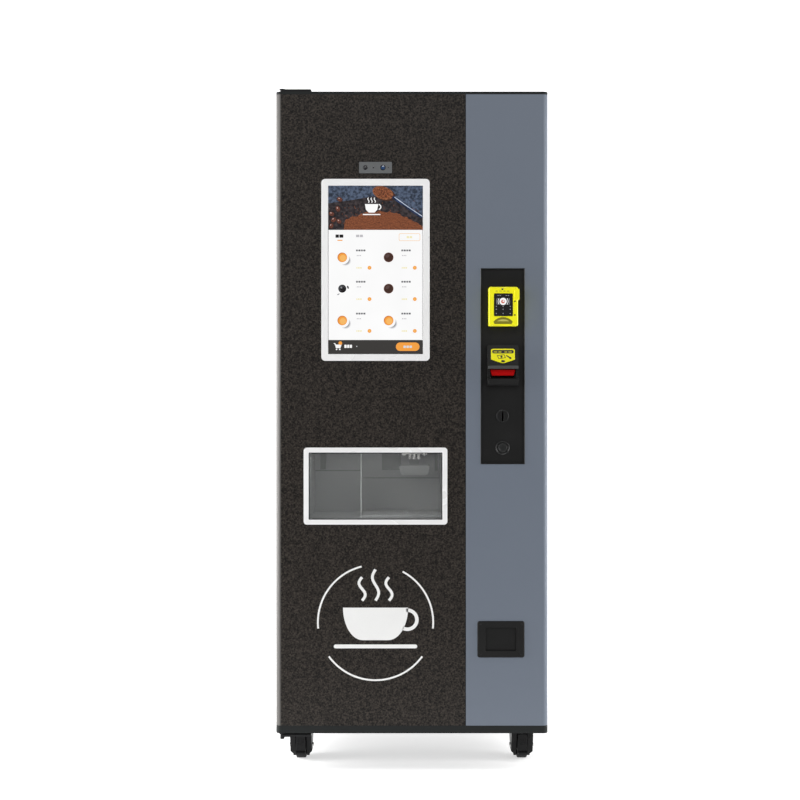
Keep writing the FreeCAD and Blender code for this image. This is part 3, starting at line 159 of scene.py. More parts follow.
class Finish:
    """A procedural material: one Principled shader, and textures hung on it by its methods."""

    def __init__(self, name, colour, rough, metal=0.0, **sockets):
        self.material = bpy.data.materials.new(name)
        self.material.use_nodes = True
        tree = self.material.node_tree
        self.nodes = tree.nodes
        self.links = tree.links
        self.shader = tree.nodes["Principled BSDF"]
        self.colour = colour
        self.rough = rough
        self.put("Base Color", (*colour, 1))
        self.put("Roughness", rough)
        self.put("Metallic", metal)
        for key, value in sockets.items():
            self.put(key.replace("_", " "), value)
        self.place = self.nodes.new("ShaderNodeTexCoord").outputs["Object"]

    def put(self, socket, value):
        self.shader.inputs[socket].default_value = value

    def link(self, output, socket):
        self.links.new(output, self.shader.inputs[socket])

    def noise(self, scale, detail=2.0, stretch=(1, 1, 1)):
        mapping = self.nodes.new("ShaderNodeMapping")
        mapping.inputs["Scale"].default_value = stretch
        self.links.new(self.place, mapping.inputs["Vector"])
        node = self.nodes.new("ShaderNodeTexNoise")
        node.inputs["Scale"].default_value = scale
        node.inputs["Detail"].default_value = detail
        self.links.new(mapping.outputs["Vector"], node.inputs["Vector"])
        return node.outputs["Fac"]

    def axis(self, name, low, high):
        """0 at low and 1 at high along the named axis, in metres."""
        node = self.nodes.new("ShaderNodeSeparateXYZ")
        self.links.new(self.place, node.inputs[0])
        return self.spread(node.outputs[name], low, high)

    def spread(self, value, low, high, to_low=0.0, to_high=1.0):
        node = self.nodes.new("ShaderNodeMapRange")
        limits = (("From Min", low), ("From Max", high), ("To Min", to_low), ("To Max", to_high))
        for socket, number in limits:
            node.inputs[socket].default_value = number
        self.links.new(value, node.inputs["Value"])
        return node.outputs["Result"]

    def uneven(self, scale, detail, low, high):
        """Roughness that drifts between low and high."""
        self.link(self.spread(self.noise(scale, detail), 0.3, 0.7, low, high), "Roughness")
        return self

    def blend(self, factor, first, second):
        """Colour between first and second, each a colour or another output."""
        colour_a, colour_b, colour_out = 6, 7, 2
        node = self.nodes.new("ShaderNodeMix")
        node.data_type = "RGBA"
        self.links.new(factor, node.inputs[0])
        for socket, value in ((node.inputs[colour_a], first), (node.inputs[colour_b], second)):
            if isinstance(value, tuple):
                socket.default_value = (*value, 1)
            else:
                self.links.new(value, socket)
        return node.outputs[colour_out]

    def painted_edge_highlight(self, tone, pale):
        """Tone that turns pale over the door's rounded left edge: a painted highlight of the side light on the
        rounding.
        """
        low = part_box("dark_front_panel")[0]
        across = self.axis("X", low.x + EDGE * 1.05, low.x + EDGE * 0.7)
        depth = self.axis("Y", low.y + EDGE * 1.4, low.y + EDGE * 0.8)
        both = self.nodes.new("ShaderNodeMath")
        both.operation = "MULTIPLY"
        self.links.new(across, both.inputs[0])
        self.links.new(depth, both.inputs[1])
        return self.blend(both.outputs[0], tone, pale)

    def relief(self, height, strength, depth, edge=0.0):
        """Bump in metres of depth, over edges rounded to a radius of edge millimetres."""
        node = self.nodes.new("ShaderNodeBump")
        node.inputs["Strength"].default_value = strength
        node.inputs["Distance"].default_value = depth
        self.links.new(height, node.inputs["Height"])
        if edge:
            bevel = self.nodes.new("ShaderNodeBevel")
            bevel.samples = 4
            bevel.inputs["Radius"].default_value = edge * MM
            self.links.new(bevel.outputs["Normal"], node.inputs["Normal"])
        self.link(node.outputs["Normal"], "Normal")

    def grain(self, scale, amount, strength=0.2, depth=0.0002, stretch=(1, 1, 1), edge=0.0, rough=0.06):
        """Even fine texture: tone, roughness and bump from one noise over a broad mottle."""
        fine = self.noise(scale, 3, stretch)
        broad = self.noise(7, 2)
        self.link(self.spread(broad, 0.3, 0.7, self.rough - rough, self.rough + rough), "Roughness")
        darker, paler = tint(self.colour, 1 - amount), tint(self.colour, 1 + amount)
        tone = self.blend(self.spread(fine, 0.32, 0.68), darker, paler)
        mottle = self.spread(broad, 0.3, 0.7, 0.0, 0.5)
        self.link(self.blend(mottle, tone, tint(self.colour, 1 - amount / 2)), "Base Color")
        self.relief(fine, strength, depth, edge)
        return self

    def bands(self, scale, direction, amount, strength=0.4, depth=0.0006):
        """Parallel ribs, as on stacked cups, a grille or a fluted hose."""
        node = self.nodes.new("ShaderNodeTexWave")
        node.bands_direction = direction
        node.inputs["Scale"].default_value = scale
        self.links.new(self.place, node.inputs["Vector"])
        rib = node.outputs["Fac"]
        self.link(self.blend(rib, tint(self.colour, 1 - amount), self.colour), "Base Color")
        self.relief(rib, strength, depth)
        return self

    def glow(self, strength, low=0.96):
        """Lit display colour, with the slight unevenness of a backlight."""
        tone = self.blend(self.spread(self.noise(9, 2), 0.3, 0.7), tint(self.colour, low), self.colour)
        self.link(tone, "Emission Color")
        self.put("Emission Strength", strength)
        self.put("Base Color", (0.01, 0.01, 0.01, 1))
        return self


def dark_paint(name, edge_highlight=False):
    """Fine-textured charcoal powder coat; with the second argument set, a painted highlight makes the door's
    rounded left edge paler.
    """
    dark = Finish(name, lin(32, 31, 28), 0.5, Specular_IOR_Level=0.1, Coat_Weight=0.2, Coat_Roughness=0.28)
    sand = dark.noise(250, 4)
    speck = dark.blend(dark.spread(sand, 0.36, 0.66), lin(12, 11, 11), lin(66, 60, 55))
    tone = dark.blend(dark.spread(dark.noise(120, 2), 0.35, 0.7, 0, 0.4), speck, lin(26, 24, 22))
    if edge_highlight:
        # Painted highlight: the door's rounded left edge is paler, as the side light makes it.
        tone = dark.painted_edge_highlight(tone, lin(98, 96, 94))
    dark.link(tone, "Base Color")
    dark.link(dark.spread(sand, 0.3, 0.7, 0.56, 0.42), "Roughness")
    dark.relief(sand, 0.45, 0.0006, 1.2)
    return dark


def make_finishes():
    """One finish for each material slot of the record."""
    made = {"dark_powder": dark_paint("dark_powder"), "dark_skin": dark_paint("dark_skin", True)}

    def grained(name, colour, rough, metal, grain, edge=0.0, **sockets):
        made[name] = Finish(name, colour, rough, metal, **sockets).grain(*grain, edge=edge)

    grained("grey_powder", lin(108, 116, 128), 0.42, 0, (900, 0.03, 0.12, 0.0001), 1.2,
            Specular_IOR_Level=0.25, Coat_Weight=0.15, Coat_Roughness=0.25)
    grained("dark_frame", lin(34, 36, 36), 0.4, 0, (1100, 0.07, 0.15, 0.0001), 1.2, Specular_IOR_Level=0.15)
    grained("black_hardware", (0.012, 0.012, 0.013), 0.36, 0.2, (700, 0.2, 0.2, 0.0002), 0.8,
            Specular_IOR_Level=0.25)
    grained("chamber_grey", lin(146, 148, 148), 0.45, 0, (1000, 0.04, 0.12, 0.0001))
    grained("milky_plastic", (0.74, 0.76, 0.75), 0.35, 0, (500, 0.04, 0.1, 0.0001),
            Subsurface_Weight=0.3, Subsurface_Scale=0.02)
    grained("yellow_plastic", lin(252, 246, 24), 0.3, 0, (1400, 0.04, 0.12, 0.0001), 0.8,
            Coat_Weight=0.15, Coat_Roughness=0.15)
    grained("stainless", (0.83, 0.83, 0.82), 0.27, 0.75, (260, 0.05, 0.15, 0.0001, (1, 1, 14)), 0.6,
            Anisotropic=0.5)
    grained("soft_rubber", (0.012, 0.012, 0.0125), 0.62, 0, (600, 0.25, 0.3, 0.0003),
            Specular_IOR_Level=0.2)
    zinc = Finish("galvanised", (0.55, 0.56, 0.57), 0.42, 0.85)
    spangle = zinc.nodes.new("ShaderNodeTexVoronoi")
    spangle.inputs["Scale"].default_value = 70
    zinc.links.new(zinc.place, spangle.inputs["Vector"])
    zinc.link(zinc.blend(spangle.outputs["Color"], (0.42, 0.43, 0.44), (0.62, 0.63, 0.64)), "Base Color")
    zinc.relief(zinc.noise(300, 3), 0.1, 0.0001, 0.8)
    made["galvanised"] = zinc
    clear = Finish("clear_acrylic", (0.96, 0.98, 0.98), 0.03, Transmission_Weight=0.8, IOR=1.1, Alpha=0.2)
    made["clear_acrylic"] = clear.uneven(12, 2, 0.02, 0.05)
    smoked = Finish("smoked_acrylic", (0.45, 0.46, 0.46), 0.06, Transmission_Weight=0.9, IOR=1.2, Alpha=0.4)
    made["smoked_acrylic"] = smoked.uneven(12, 2, 0.05, 0.1)
    for name, colour, rough in (
            ("light_plastic", (0.5, 0.51, 0.51), 0.42), ("white_plastic", (0.78, 0.78, 0.76), 0.38),
            ("grey_plastic", lin(98, 100, 101), 0.4), ("black_plastic", lin(29, 29, 29), 0.4),
            ("caster_black", (0.006, 0.006, 0.0065), 0.34)):
        gloss = 0.2 if colour[0] < 0.02 else 0.45
        grained(name, colour, rough, 0, (1300, 0.08, 0.25, 0.00015), 0.8, Specular_IOR_Level=gloss)
    screen = Finish("screen_black", (0.008, 0.008, 0.009), 0.07, Coat_Weight=1.0, Coat_Roughness=0.03)
    made["screen_black"] = screen.uneven(30, 3, 0.05, 0.11)
    made["paper_cup"] = Finish("paper_cup", (0.84, 0.82, 0.77), 0.8).bands(90, "Z", 0.35)
    return made


def dress_frame(made):
    """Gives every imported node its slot's finish, and a few nodes one of their own."""
    brushed = Finish("brushed_bezel", (0.97, 0.97, 0.965), 0.3, 0.12)
    own = {
        "screen_bezel": brushed.grain(420, 0.04, 0.12, 0.0001, (1, 1, 6), 1.0),
        "window_frame": brushed,
        "drip_tray": Finish("tray_grille", lin(176, 178, 178), 0.35, 0.1).bands(62, "X", 0.3, 0.5, 0.001),
        # The door's front skin carries the painted highlight on its rounded left edge.
        "dark_front_panel": made["dark_skin"],
        "spout_funnel": made["funnel_grey"],
        "hopper_lid": made["smoked_acrylic"],
    }
    for name, obj in frame["nodes"].items():
        finish = own.get(name, made[slot_of[name]])
        obj.data.materials.clear()
        obj.data.materials.append(finish.material)
        for face in obj.data.polygons:
            face.material_index = 0


# ---- mesh pieces
class Piece:
    """One mesh put together from flat, turned and swept shapes, in millimetres."""

    def __init__(self, name, body, slot=None):
        self.name, self.body, self.slot = name, body, slot
        self.bm = bmesh.new()
        self.finishes = []

    def index(self, finish):
        """Slot number of a finish, which is given by name throughout."""
        if finish not in self.finishes:
            self.finishes.append(finish)
        return self.finishes.index(finish)

    def loop(self, points):
        return [self.bm.verts.new(Vector(p) * MM) for p in points]

    def face(self, verts, finish, toward=None):
        made = self.bm.faces.new(verts)
        made.material_index = self.index(finish)
        made.smooth = True
        made.normal_update()
        if toward is not None and made.normal.dot(toward) < 0:
            made.normal_flip()
        return made

    def turned(self, profile, at, along, finish, steps=32):
        """Solid of revolution: profile is (radius, distance) from at, along the axis."""
        along = Vector(along).normalized()
        side = along.orthogonal().normalized()
        other = along.cross(side)
        angles = [2 * math.pi * i / steps for i in range(steps)]
        rings = []
        for radius, height in profile:
            if radius < 1e-6:
                rings.append(self.loop([Vector(at) + along * height]))
                continue
            centre = Vector(at) + along * height
            rings.append(self.loop([centre + (side * math.cos(a) + other * math.sin(a)) * radius
                                    for a in angles]))
        for low, high in zip(rings, rings[1:]):
            for i in range(steps):
                j = i + 1
                quad = [low[i % len(low)], low[j % len(low)], high[j % len(high)], high[i % len(high)]]
                self.face(list(dict.fromkeys(quad)), finish)
        return self

    def slab(self, outline, at, right, down, thick, bevel, finish):
        """Plate with a chamfered front edge: the outline is seen from its front, y downwards."""
        right, down = Vector(right).normalized(), Vector(down).normalized()
        out = down.cross(right)
        centre = Vector((sum(p[0] for p in outline), sum(p[1] for p in outline), 0)) / len(outline)

        def ring(lift, inset):
            points = []
            for x, y in outline:
                offset = Vector((x, y, 0)) - centre
                size = max(offset.length, 1e-6)
                flat = centre + offset * (size - inset) / size
                points.append(Vector(at) + right * flat.x + down * flat.y + out * lift)
            return self.loop(points)

        rings = [ring(0, 0), ring(thick - bevel, 0), ring(thick, bevel)]
        for low, high in zip(rings, rings[1:]):
            for i in range(len(outline)):
                j = (i + 1) % len(outline)
                self.face([low[i], low[j], high[j], high[i]], finish)
        self.face(rings[2], finish, out)
        self.face(list(reversed(rings[0])), finish, -out)
        return self

    def tube(self, path, radius, finish, steps=12, closed=False):
        points = [Vector(p) for p in path]
        count = len(points)
        rings = []
        for i, point in enumerate(points):
            before = points[i - 1] if closed or i else point
            after = points[(i + 1) % count] if closed or i < count - 1 else point
            run = (after - before).normalized()
            side = run.cross(Y if abs(run.y) < 0.9 else Z).normalized()
            other = run.cross(side)
            rings.append(self.loop([point + (side * math.cos(a) + other * math.sin(a)) * radius
                                    for a in (2 * math.pi * k / steps for k in range(steps))]))
        pairs = list(zip(rings, rings[1:])) + ([(rings[-1], rings[0])] if closed else [])
        for low, high in pairs:
            for k in range(steps):
                m = (k + 1) % steps
                self.face([low[k], low[m], high[m], high[k]], finish)
        if not closed:
            self.face(list(reversed(rings[0])), finish)
            self.face(rings[-1], finish)
        return self

    def screws(self, places, out, finish, radius=3.6, height=1.8):
        """Domed heads with a cross recess."""
        out = Vector(out)
        side = out.orthogonal().normalized()
        dome = [(radius, 0), (radius, height * 0.45), (radius * 0.8, height * 0.85),
                (radius * 0.45, height), (0, height)]
        for at in places:
            self.turned(dome, at, out, finish, 16)
            for turn in (0, math.pi / 2):
                run = Matrix.Rotation(turn, 3, out) @ side
                across = out.cross(run)
                top = Vector(at) + out * (height + 0.05)
                slot = [top + run * a * radius * 0.55 + across * b * radius * 0.12
                        for a, b in ((-1, -1), (1, -1), (1, 1), (-1, 1))]
                self.face(self.loop(slot), "recess", out)
        return self

    def heap(self, x0, x1, y0, y1, rows, height, finish):
        """Uneven top of a heap; height is a function of the place, from 0 to 1 each way."""
        grid = []
        for i in range(rows + 1):
            u = i / rows
            grid.append(self.loop([(x0 + (x1 - x0) * u, y0 + (y1 - y0) * j / rows, height(u, j / rows))
                                   for j in range(rows + 1)]))
        for i in range(rows):
            for j in range(rows):
                self.face([grid[i][j], grid[i + 1][j], grid[i + 1][j + 1], grid[i][j + 1]], finish, Z)
        return grid

    def done(self, sharp=35):
        bmesh.ops.recalc_face_normals(self.bm, faces=[f for f in self.bm.faces if not f.tag])
        for edge in self.bm.edges:
            if len(edge.link_faces) == 2:
                edge.smooth = edge.calc_face_angle(0) < math.radians(sharp)
        mesh = bpy.data.meshes.new(self.name)
        self.bm.to_mesh(mesh)
        self.bm.free()
        for finish in self.finishes:
            mesh.materials.append(FINISH[finish].material)
        obj = bpy.data.objects.new(self.name, mesh)
        bpy.context.scene.collection.objects.link(obj)
        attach(obj, self.body)
        return obj


def corner_places(node, inset):
    """Four places on a node's front face, in from its corners."""
    low, high = box_mm(node)
    return [(x, low.y, z) for x in (low.x + inset, high.x - inset) for z in (low.z + inset, high.z - inset)]


def black_screws(name, body, places, out, radius, height):
    Piece(name, body, "black_hardware").screws(places, out, "black_hardware", radius, height).done()


class Art(Piece):
    """Flat artwork on a plane: shapes in layers, each a hair ahead of the one below; y runs down."""

    def __init__(self, name, body, at, slot=None, right=X, down=-Z, hair=0.06):
        super().__init__(name, body, slot)
        self.at, self.right, self.down, self.hair = Vector(at), Vector(right), Vector(down), hair
        self.out = self.down.cross(self.right)

    def add(self, points, finish, layer=1):
        lift = self.out * layer * self.hair
        corners = [self.at + self.right * x + self.down * y + lift for x, y in points]
        self.face(self.loop(corners), finish, self.out).tag = True


def block(x0, y0, x1, y1):
    return [(x0, y0), (x1, y0), (x1, y1), (x0, y1)]


def disc(x, y, radius, squash=1.0, turn=0.0, steps=28):
    cos, sin = math.cos(turn), math.sin(turn)
    points = []
    for i in range(steps):
        a = 2 * math.pi * i / steps
        u, v = radius * math.cos(a), radius * squash * math.sin(a)
        points.append((x + u * cos - v * sin, y + u * sin + v * cos))
    return points


def bar(x0, y0, x1, y1, radius=None):
    """Rectangle with rounded corners."""
    limit = min(x1 - x0, y1 - y0) / 2
    radius = limit * 0.999 if radius is None else min(radius, limit * 0.999)
    points = []
    for cx, cy, start in ((x1 - radius, y1 - radius, 0), (x0 + radius, y1 - radius, 90),
                          (x0 + radius, y0 + radius, 180), (x1 - radius, y0 + radius, 270)):
        for i in range(7):
            a = math.radians(start + 15 * i)
            points.append((cx + radius * math.cos(a), cy + radius * math.sin(a)))
    return points


def stroke(path, width):
    """Outline of a line of even width through path."""
    left, right = [], []
    for i, (x, y) in enumerate(path):
        x0, y0 = path[max(i - 1, 0)]
        x1, y1 = path[min(i + 1, len(path) - 1)]
        size = math.hypot(x1 - x0, y1 - y0)
        nx, ny = (y0 - y1) / size * width / 2, (x1 - x0) / size * width / 2
        left.append((x + nx, y + ny))
        right.append((x - nx, y - ny))
    return left + right[::-1]


def arc(x, y, radius, start, end, steps=24):
    """Points on a circle; angles in degrees, anticlockwise from the right as seen."""
    angles = [math.radians(start + (end - start) * i / steps) for i in range(steps + 1)]
    return [(x + radius * math.cos(a), y - radius * math.sin(a)) for a in angles]


def ripple(x, y, height, sway, steps=14):
    """Rising wisp of steam."""
    rise = [i / steps for i in range(steps + 1)]
    return [(x + sway * math.sin(2 * math.pi * t), y - height * t) for t in rise]


# ---- artwork of the dark panel
def emblem():
    """White ring, open at its sides and top, round a plain steaming cup."""
    low = box_mm("window_frame")[0]
    centre = (middle("window_frame")[0], box_mm("dark_front_panel")[0].y, low.z - EMBLEM_DROP)
    art = Art("emblem", "door", centre)
    white = "vinyl"
    ring_radius, ring_width = 163, 5
    for start, end in ((104, 186), (-6, 62), (216, 324)):
        art.add(stroke(arc(0, 0, ring_radius, start, end, 60), ring_width), white)
    half_mouth, foot_in, brim, deep, steps = 92, 56, -42, 92, 12
    quarter = [math.pi / 2 * i / steps for i in range(steps + 1)]
    bowl = [(-half_mouth + foot_in * (1 - math.cos(t)), brim + deep * math.sin(t)) for t in quarter]
    bowl += [(-x, y) for x, y in reversed(bowl)]
    art.add(bowl, white)
    art.add(stroke(arc(90, -8, 27, -118, 96, 26), 10), white)
    art.add(bar(-118, 62, 118, 73), white)
    for x, height in ((-38, 66), (0, 88), (38, 66)):
        art.add(stroke(ripple(x, -62, height, 9), 8), white)
    art.done()


# ---- touch screen
def whole_bean(art, x, y, size, turn):
    """Glossy roasted bean: dark rim, body, seam and a highlight."""
    art.add(disc(x, y, size, 0.74, turn), "roast", 5)
    art.add(disc(x - 0.5, y - 0.6, size - 1.3, 0.7, turn), "bean", 6)
    u, v = size * 0.8 * math.cos(turn), size * 0.8 * math.sin(turn)
    seam = [(x - u, y - v), (x - v * 0.16, y + u * 0.16), (x + u, y + v)]
    art.add(stroke(seam, 1.5), "roast", 7)
    art.add(disc(x - size * 0.24, y - size * 0.36, size * 0.24, 0.6, turn), "glint", 8)


def banner(art, rng):
    """Slate worktop with whole beans, a drift of grounds, a full scoop, and a plain cup sign."""
    wide, tall = PICTURE_WIDTH, MENU_TOP
    art.add(block(0, 0, wide, tall), "slate", 1)
    shadow = [(0, 50), (70, 40), (128, 30), (200, 52), (wide, 84), (wide, tall), (0, tall)]
    art.add(shadow, "slate_dark", 2)
    drift = [(44, tall)]
    steps = 44
    for i in range(steps + 1):
        t = i / steps
        crest = 122 - 50 * math.sin(math.pi * min(1, 0.12 + t * 0.86)) ** 0.8
        drift.append((48 + 220 * t, crest + rng.uniform(-3, 3)))
    art.add(drift + [(wide, tall)], "grounds", 3)
    for _ in range(110):
        x = rng.uniform(40, 262)
        y = min(122, abs(rng.gauss(76, 16)) + 2)
        art.add(disc(x, y, rng.uniform(0.5, 1.5), 0.8, 0, 7), "grounds", 4)
    art.add(stroke([(180, 38), (222, 70), (266, 100)], 11), "slate_dark", 5)
    art.add(stroke([(182, 31), (224, 61), (266, 89)], 8.5), "handle", 6)
    art.add(stroke([(188, 32.5), (224, 58.5), (266, 86.5)], 2), "handle_lit", 7)
    art.add(disc(160, 24, 31, 0.6, 0.3), "roast", 5)
    art.add(disc(155, 20.5, 30, 0.6, 0.3), "scoop", 8)
    art.add(disc(153, 18.5, 26, 0.56, 0.3), "grounds", 9)
    for bean in ((33, 39, 8.6, 0.5), (28, 66, 8.8, 1.2), (10, 80, 8.4, 0.3), (16, 97, 8.8, 2.4),
                 (31, 101, 8.4, 0.8), (9.5, 114, 8.2, 1.9)):
        whole_bean(art, *bean)
    white = "ui_white"
    art.add([(104, 52), (142, 52), (139, 68), (131, 76), (115, 76), (107, 68)], white, 10)
    art.add(stroke(arc(142, 60, 7, -80, 80, 12), 3), white, 10)
    for x in (114, 123, 132):
        art.add(stroke(ripple(x, 48, 14, 1.8), 2.4), white, 10)
    art.add(bar(98, 80, 148, 83), white, 10)


def marks(art, x, y, widths, height, finish, layer=2):
    """A row of small blocks that stands for a line of print."""
    for width in widths:
        art.add(bar(x, y, x + width, y + height, 0.9), finish, layer)
        x += width + 1.5


def menu_entry(art, x, y, text_x, look):
    """A drink seen from above, with rows of blocks for its name, note and price, and a round button."""
    if look == "bottle":
        for dx, dy, radius, tone in ((0, 0, 11.4, "ink"), (-1.5, -1, 8.6, "ui_text"), (0.5, 1, 6.6, "ink"),
                                     (-2.5, -3, 2.4, "ui_grey")):
            layer = 3.2 - radius * 0.1
            art.add(disc(x + dx, y + dy, radius), tone, layer)
        art.add(disc(x + 16, y - 4, 4.6, 0.5, 1.2), "ink", 2)
        art.add(disc(x - 11, y + 16, 4, 0.4, -0.5), "ui_grey", 2)
    elif look == "dark":
        art.add(disc(x, y, 13.8), "bean", 2)
        art.add(disc(x, y, 12.3), "roast", 3)
        art.add(disc(x - 3, y - 4, 6.5, 0.7, -0.6), "roast_lit", 4)
    else:
        for step, tone in enumerate(("ui_haze", "ui_shadow", "ui_grey")):
            art.add(disc(x + 9.5, y + 8.5, 15 - 2.2 * step), tone, 1 + step * 0.4)
        art.add(disc(x + 3.2, y + 3.2, 16.2), "ui_white", 2.4)
        art.add(disc(x, y, 13.6), "rust", 3)
        art.add(disc(x + 0.9, y + 0.9, 12.4), "orange", 4)
        art.add(disc(x + 1.8, y + 1.8, 8.6), "amber", 5)
    marks(art, text_x, y - 22, (5, 6, 5, 6), 5, "ui_ink")
    marks(art, text_x + 2, y - 6.5, (3, 3, 3), 3, "ui_shadow")
    marks(art, text_x + 1, y + 27.5, (3, 4.5, 4.5), 4.4, "ui_lemon")
    art.add(disc(text_x + 38, y + 29.5, 5.4), "orange", 2)
    art.add(disc(text_x + 38, y + 29.5, 2.5), "amber", 3)


def screen():
    low, high = box_mm("screen_bezel")
    glass_y = box_mm("touch_screen")[0].y
    rng = random.Random(4)
    corner = (low.x + PICTURE_INSET, glass_y, high.z - PICTURE_INSET)
    art = Art("screen_picture", "door", corner, "screen_black")
    art.add(block(1, MENU_TOP, PICTURE_WIDTH - 1, MENU_END), "ui_white", 0.5)
    banner(art, rng)
    marks(art, 21, 138, (9.5, 11), 9, "ink")
    art.add(bar(26, 153, 41, 155.8), "orange", 2)
    marks(art, 79, 138.5, (9, 9), 7, "ui_shadow")
    art.add(bar(200, 135, 260, 156, 4), "amber", 2)
    art.add(bar(201, 136, 259, 155, 3.4), "ui_white", 3)
    marks(art, 222, 142.5, (7, 7), 6, "ui_lemon", 4)
    rows = (202.5, 291, 381)
    for y, left, right in zip(rows, ("cup", "bottle", "cup"), ("dark", "dark", "cup")):
        menu_entry(art, 40, y, 79, left)
        menu_entry(art, 171, y, 207, right)
    art.add(block(0, MENU_END, PICTURE_WIDTH, PICTURE_HEIGHT), "ui_bar", 1)
    art.add([(16, 445), (20, 445), (22, 449), (38, 449), (35, 459), (22, 459), (19, 448), (16, 447)],
            "ui_white", 2)
    for x in (24, 33):
        art.add(disc(x, 462.5, 2.2), "ui_white", 2)
    art.add(disc(34.5, 445, 5.2), "orange", 3)
    marks(art, 46, 449.5, (6.5, 6, 6), 9, "ui_white")
    art.add([(79, 453), (83, 453), (81, 456)], "ui_pale", 2)
    art.add(bar(191.5, 443, 258.5, 467), "orange", 2)
    marks(art, 213, 452, (7, 7, 7), 6.5, "ui_pale", 3)
    art.done()


# ---- camera bar
def camera_lenses():
    low = box_mm("camera_bar")[0]
    x, _, z = middle("camera_bar")
    seat = low.y + 2
    piece = Piece("camera_lenses", "door", "screen_black")
    for offset, radius, glass in ((-29, 6.3, "lens_dark"), (21, 7.8, "lens_blue")):
        at = (x + offset, seat, z)
        ring = [(radius, 0), (radius, 1.6), (radius - 0.8, 2.0), (radius - 1.8, 1.4), (radius - 2, 0.4)]
        piece.turned(ring, at, -Y, "black_plastic")
        pupil = [(radius - 1.9, 0.2), (radius - 2.2, 1.0), (radius * 0.4, 1.6), (0, 1.8)]
        piece.turned(pupil, at, -Y, glass)
    sensor = [(2.4, 0), (2.4, 0.3), (1.6, 0.6), (0, 0.7)]
    piece.turned(sensor, (x - 6, low.y, z), -Y, "lens_dark", 20)
    piece.turned([(1.4, 0), (1.2, 0.4), (0, 0.5)], (x + 36, low.y, z), -Y, "lens_dark", 16)
    piece.done()


# ---- payment side
def payment_trim():
    """Pale tube along the payment panel's raised rim: a painted highlight of the rim's edge."""
    low, high = box_mm("payment_panel")
    face = box_mm("grey_front_panel")[0].y
    inset, radius = 0.6, 0.55
    y = face - 0.75
    path = [(x, y, z) for x, z in block(low.x + inset, low.z + inset, high.x - inset, high.z - inset)]
    Piece("payment_trim", "door", "grey_plastic").tube(path, radius, "trim", 8, True).done()


def reader_face():
    """Display, its glass, and the marks on the yellow reader, with painted shade in its bottom recess and in the
    groove beside its hump.
    """
    half_width, half_height, centre_z = 41, 55, 1310
    left, top = middle("payment_panel")[0] - half_width, centre_z + half_height
    face = box_mm("card_reader")[0].y + 5
    piece = Piece("reader_glass", "door", "screen_black")
    glass = bar(left + 14.6, 0, left + 67.4, 63.6, 3.4)
    piece.slab(glass, (0, face + 1.5, top - 18.7), X, -Z, 1.1, 0.4, "screen_black")
    piece.done()

    art = Art("reader_display", "door", (left, face + 0.4, top), "screen_black")
    glint, dim = "ui_white", "ui_grey"
    cx, cy = 40, 41
    art.add(disc(cx, cy, 10.2), glint)
    art.add(disc(cx - 0.4, cy + 0.4, 5.2), "reader_red", 2)
    art.add(disc(cx + 0.8, cy - 0.8, 2.4), glint, 3)
    for side in (0, 180):
        art.add(stroke(arc(cx, cy, 14, side - 38, side + 38, 14), 1.8), glint)
        art.add(stroke(arc(cx, cy, 18.5, side - 30, side + 30, 14), 1.4), dim)
    for x in (24, 30, 47, 53):
        art.add(bar(x, 23.5, x + 4, 25.2, 0.6), dim)
    for y in (55, 63, 75):
        for x in (21, 40, 60):
            art.add(disc(x, y, 1.5), dim)
    art.done()

    print_and_shade = Art("reader_marks_and_shade", "door", (left, face, top), "yellow_plastic")
    for x in (22, 32.5, 43.5, 54):
        print_and_shade.add(bar(x - 3.2, 11, x + 3.2, 13, 0.8), "led_off")
    print_and_shade.add(bar(35, 90, 45, 93, 1), "ink_dark")
    for y in (41, 79):
        print_and_shade.add(bar(70.8, y - 2, 75, y + 2, 1), "ink_dark")
    # Painted shade: the groove beside the raised hump.
    print_and_shade.add(bar(73.2, 5, 75.6, 30, 1.2), "olive")
    # Painted shade in the reader's bottom recess, with a paler band inside it.
    print_and_shade.add(arc(40, 119, 34, 38, 142, 20) + [(16, 104.5), (64, 104.5)], "olive")
    print_and_shade.add(arc(40, 118, 27, 52, 128, 16), "olive_pale", 2)
    print_and_shade.done()
    dot = Piece("reader_sensor", "door", "screen_black")
    dome = [(2.6, 0), (2.4, 0.5), (1.4, 0.9), (0, 1.0)]
    dot.turned(dome, (left + 38, face, top - 6.5), -Y, "screen_black", 20)
    dot.done()


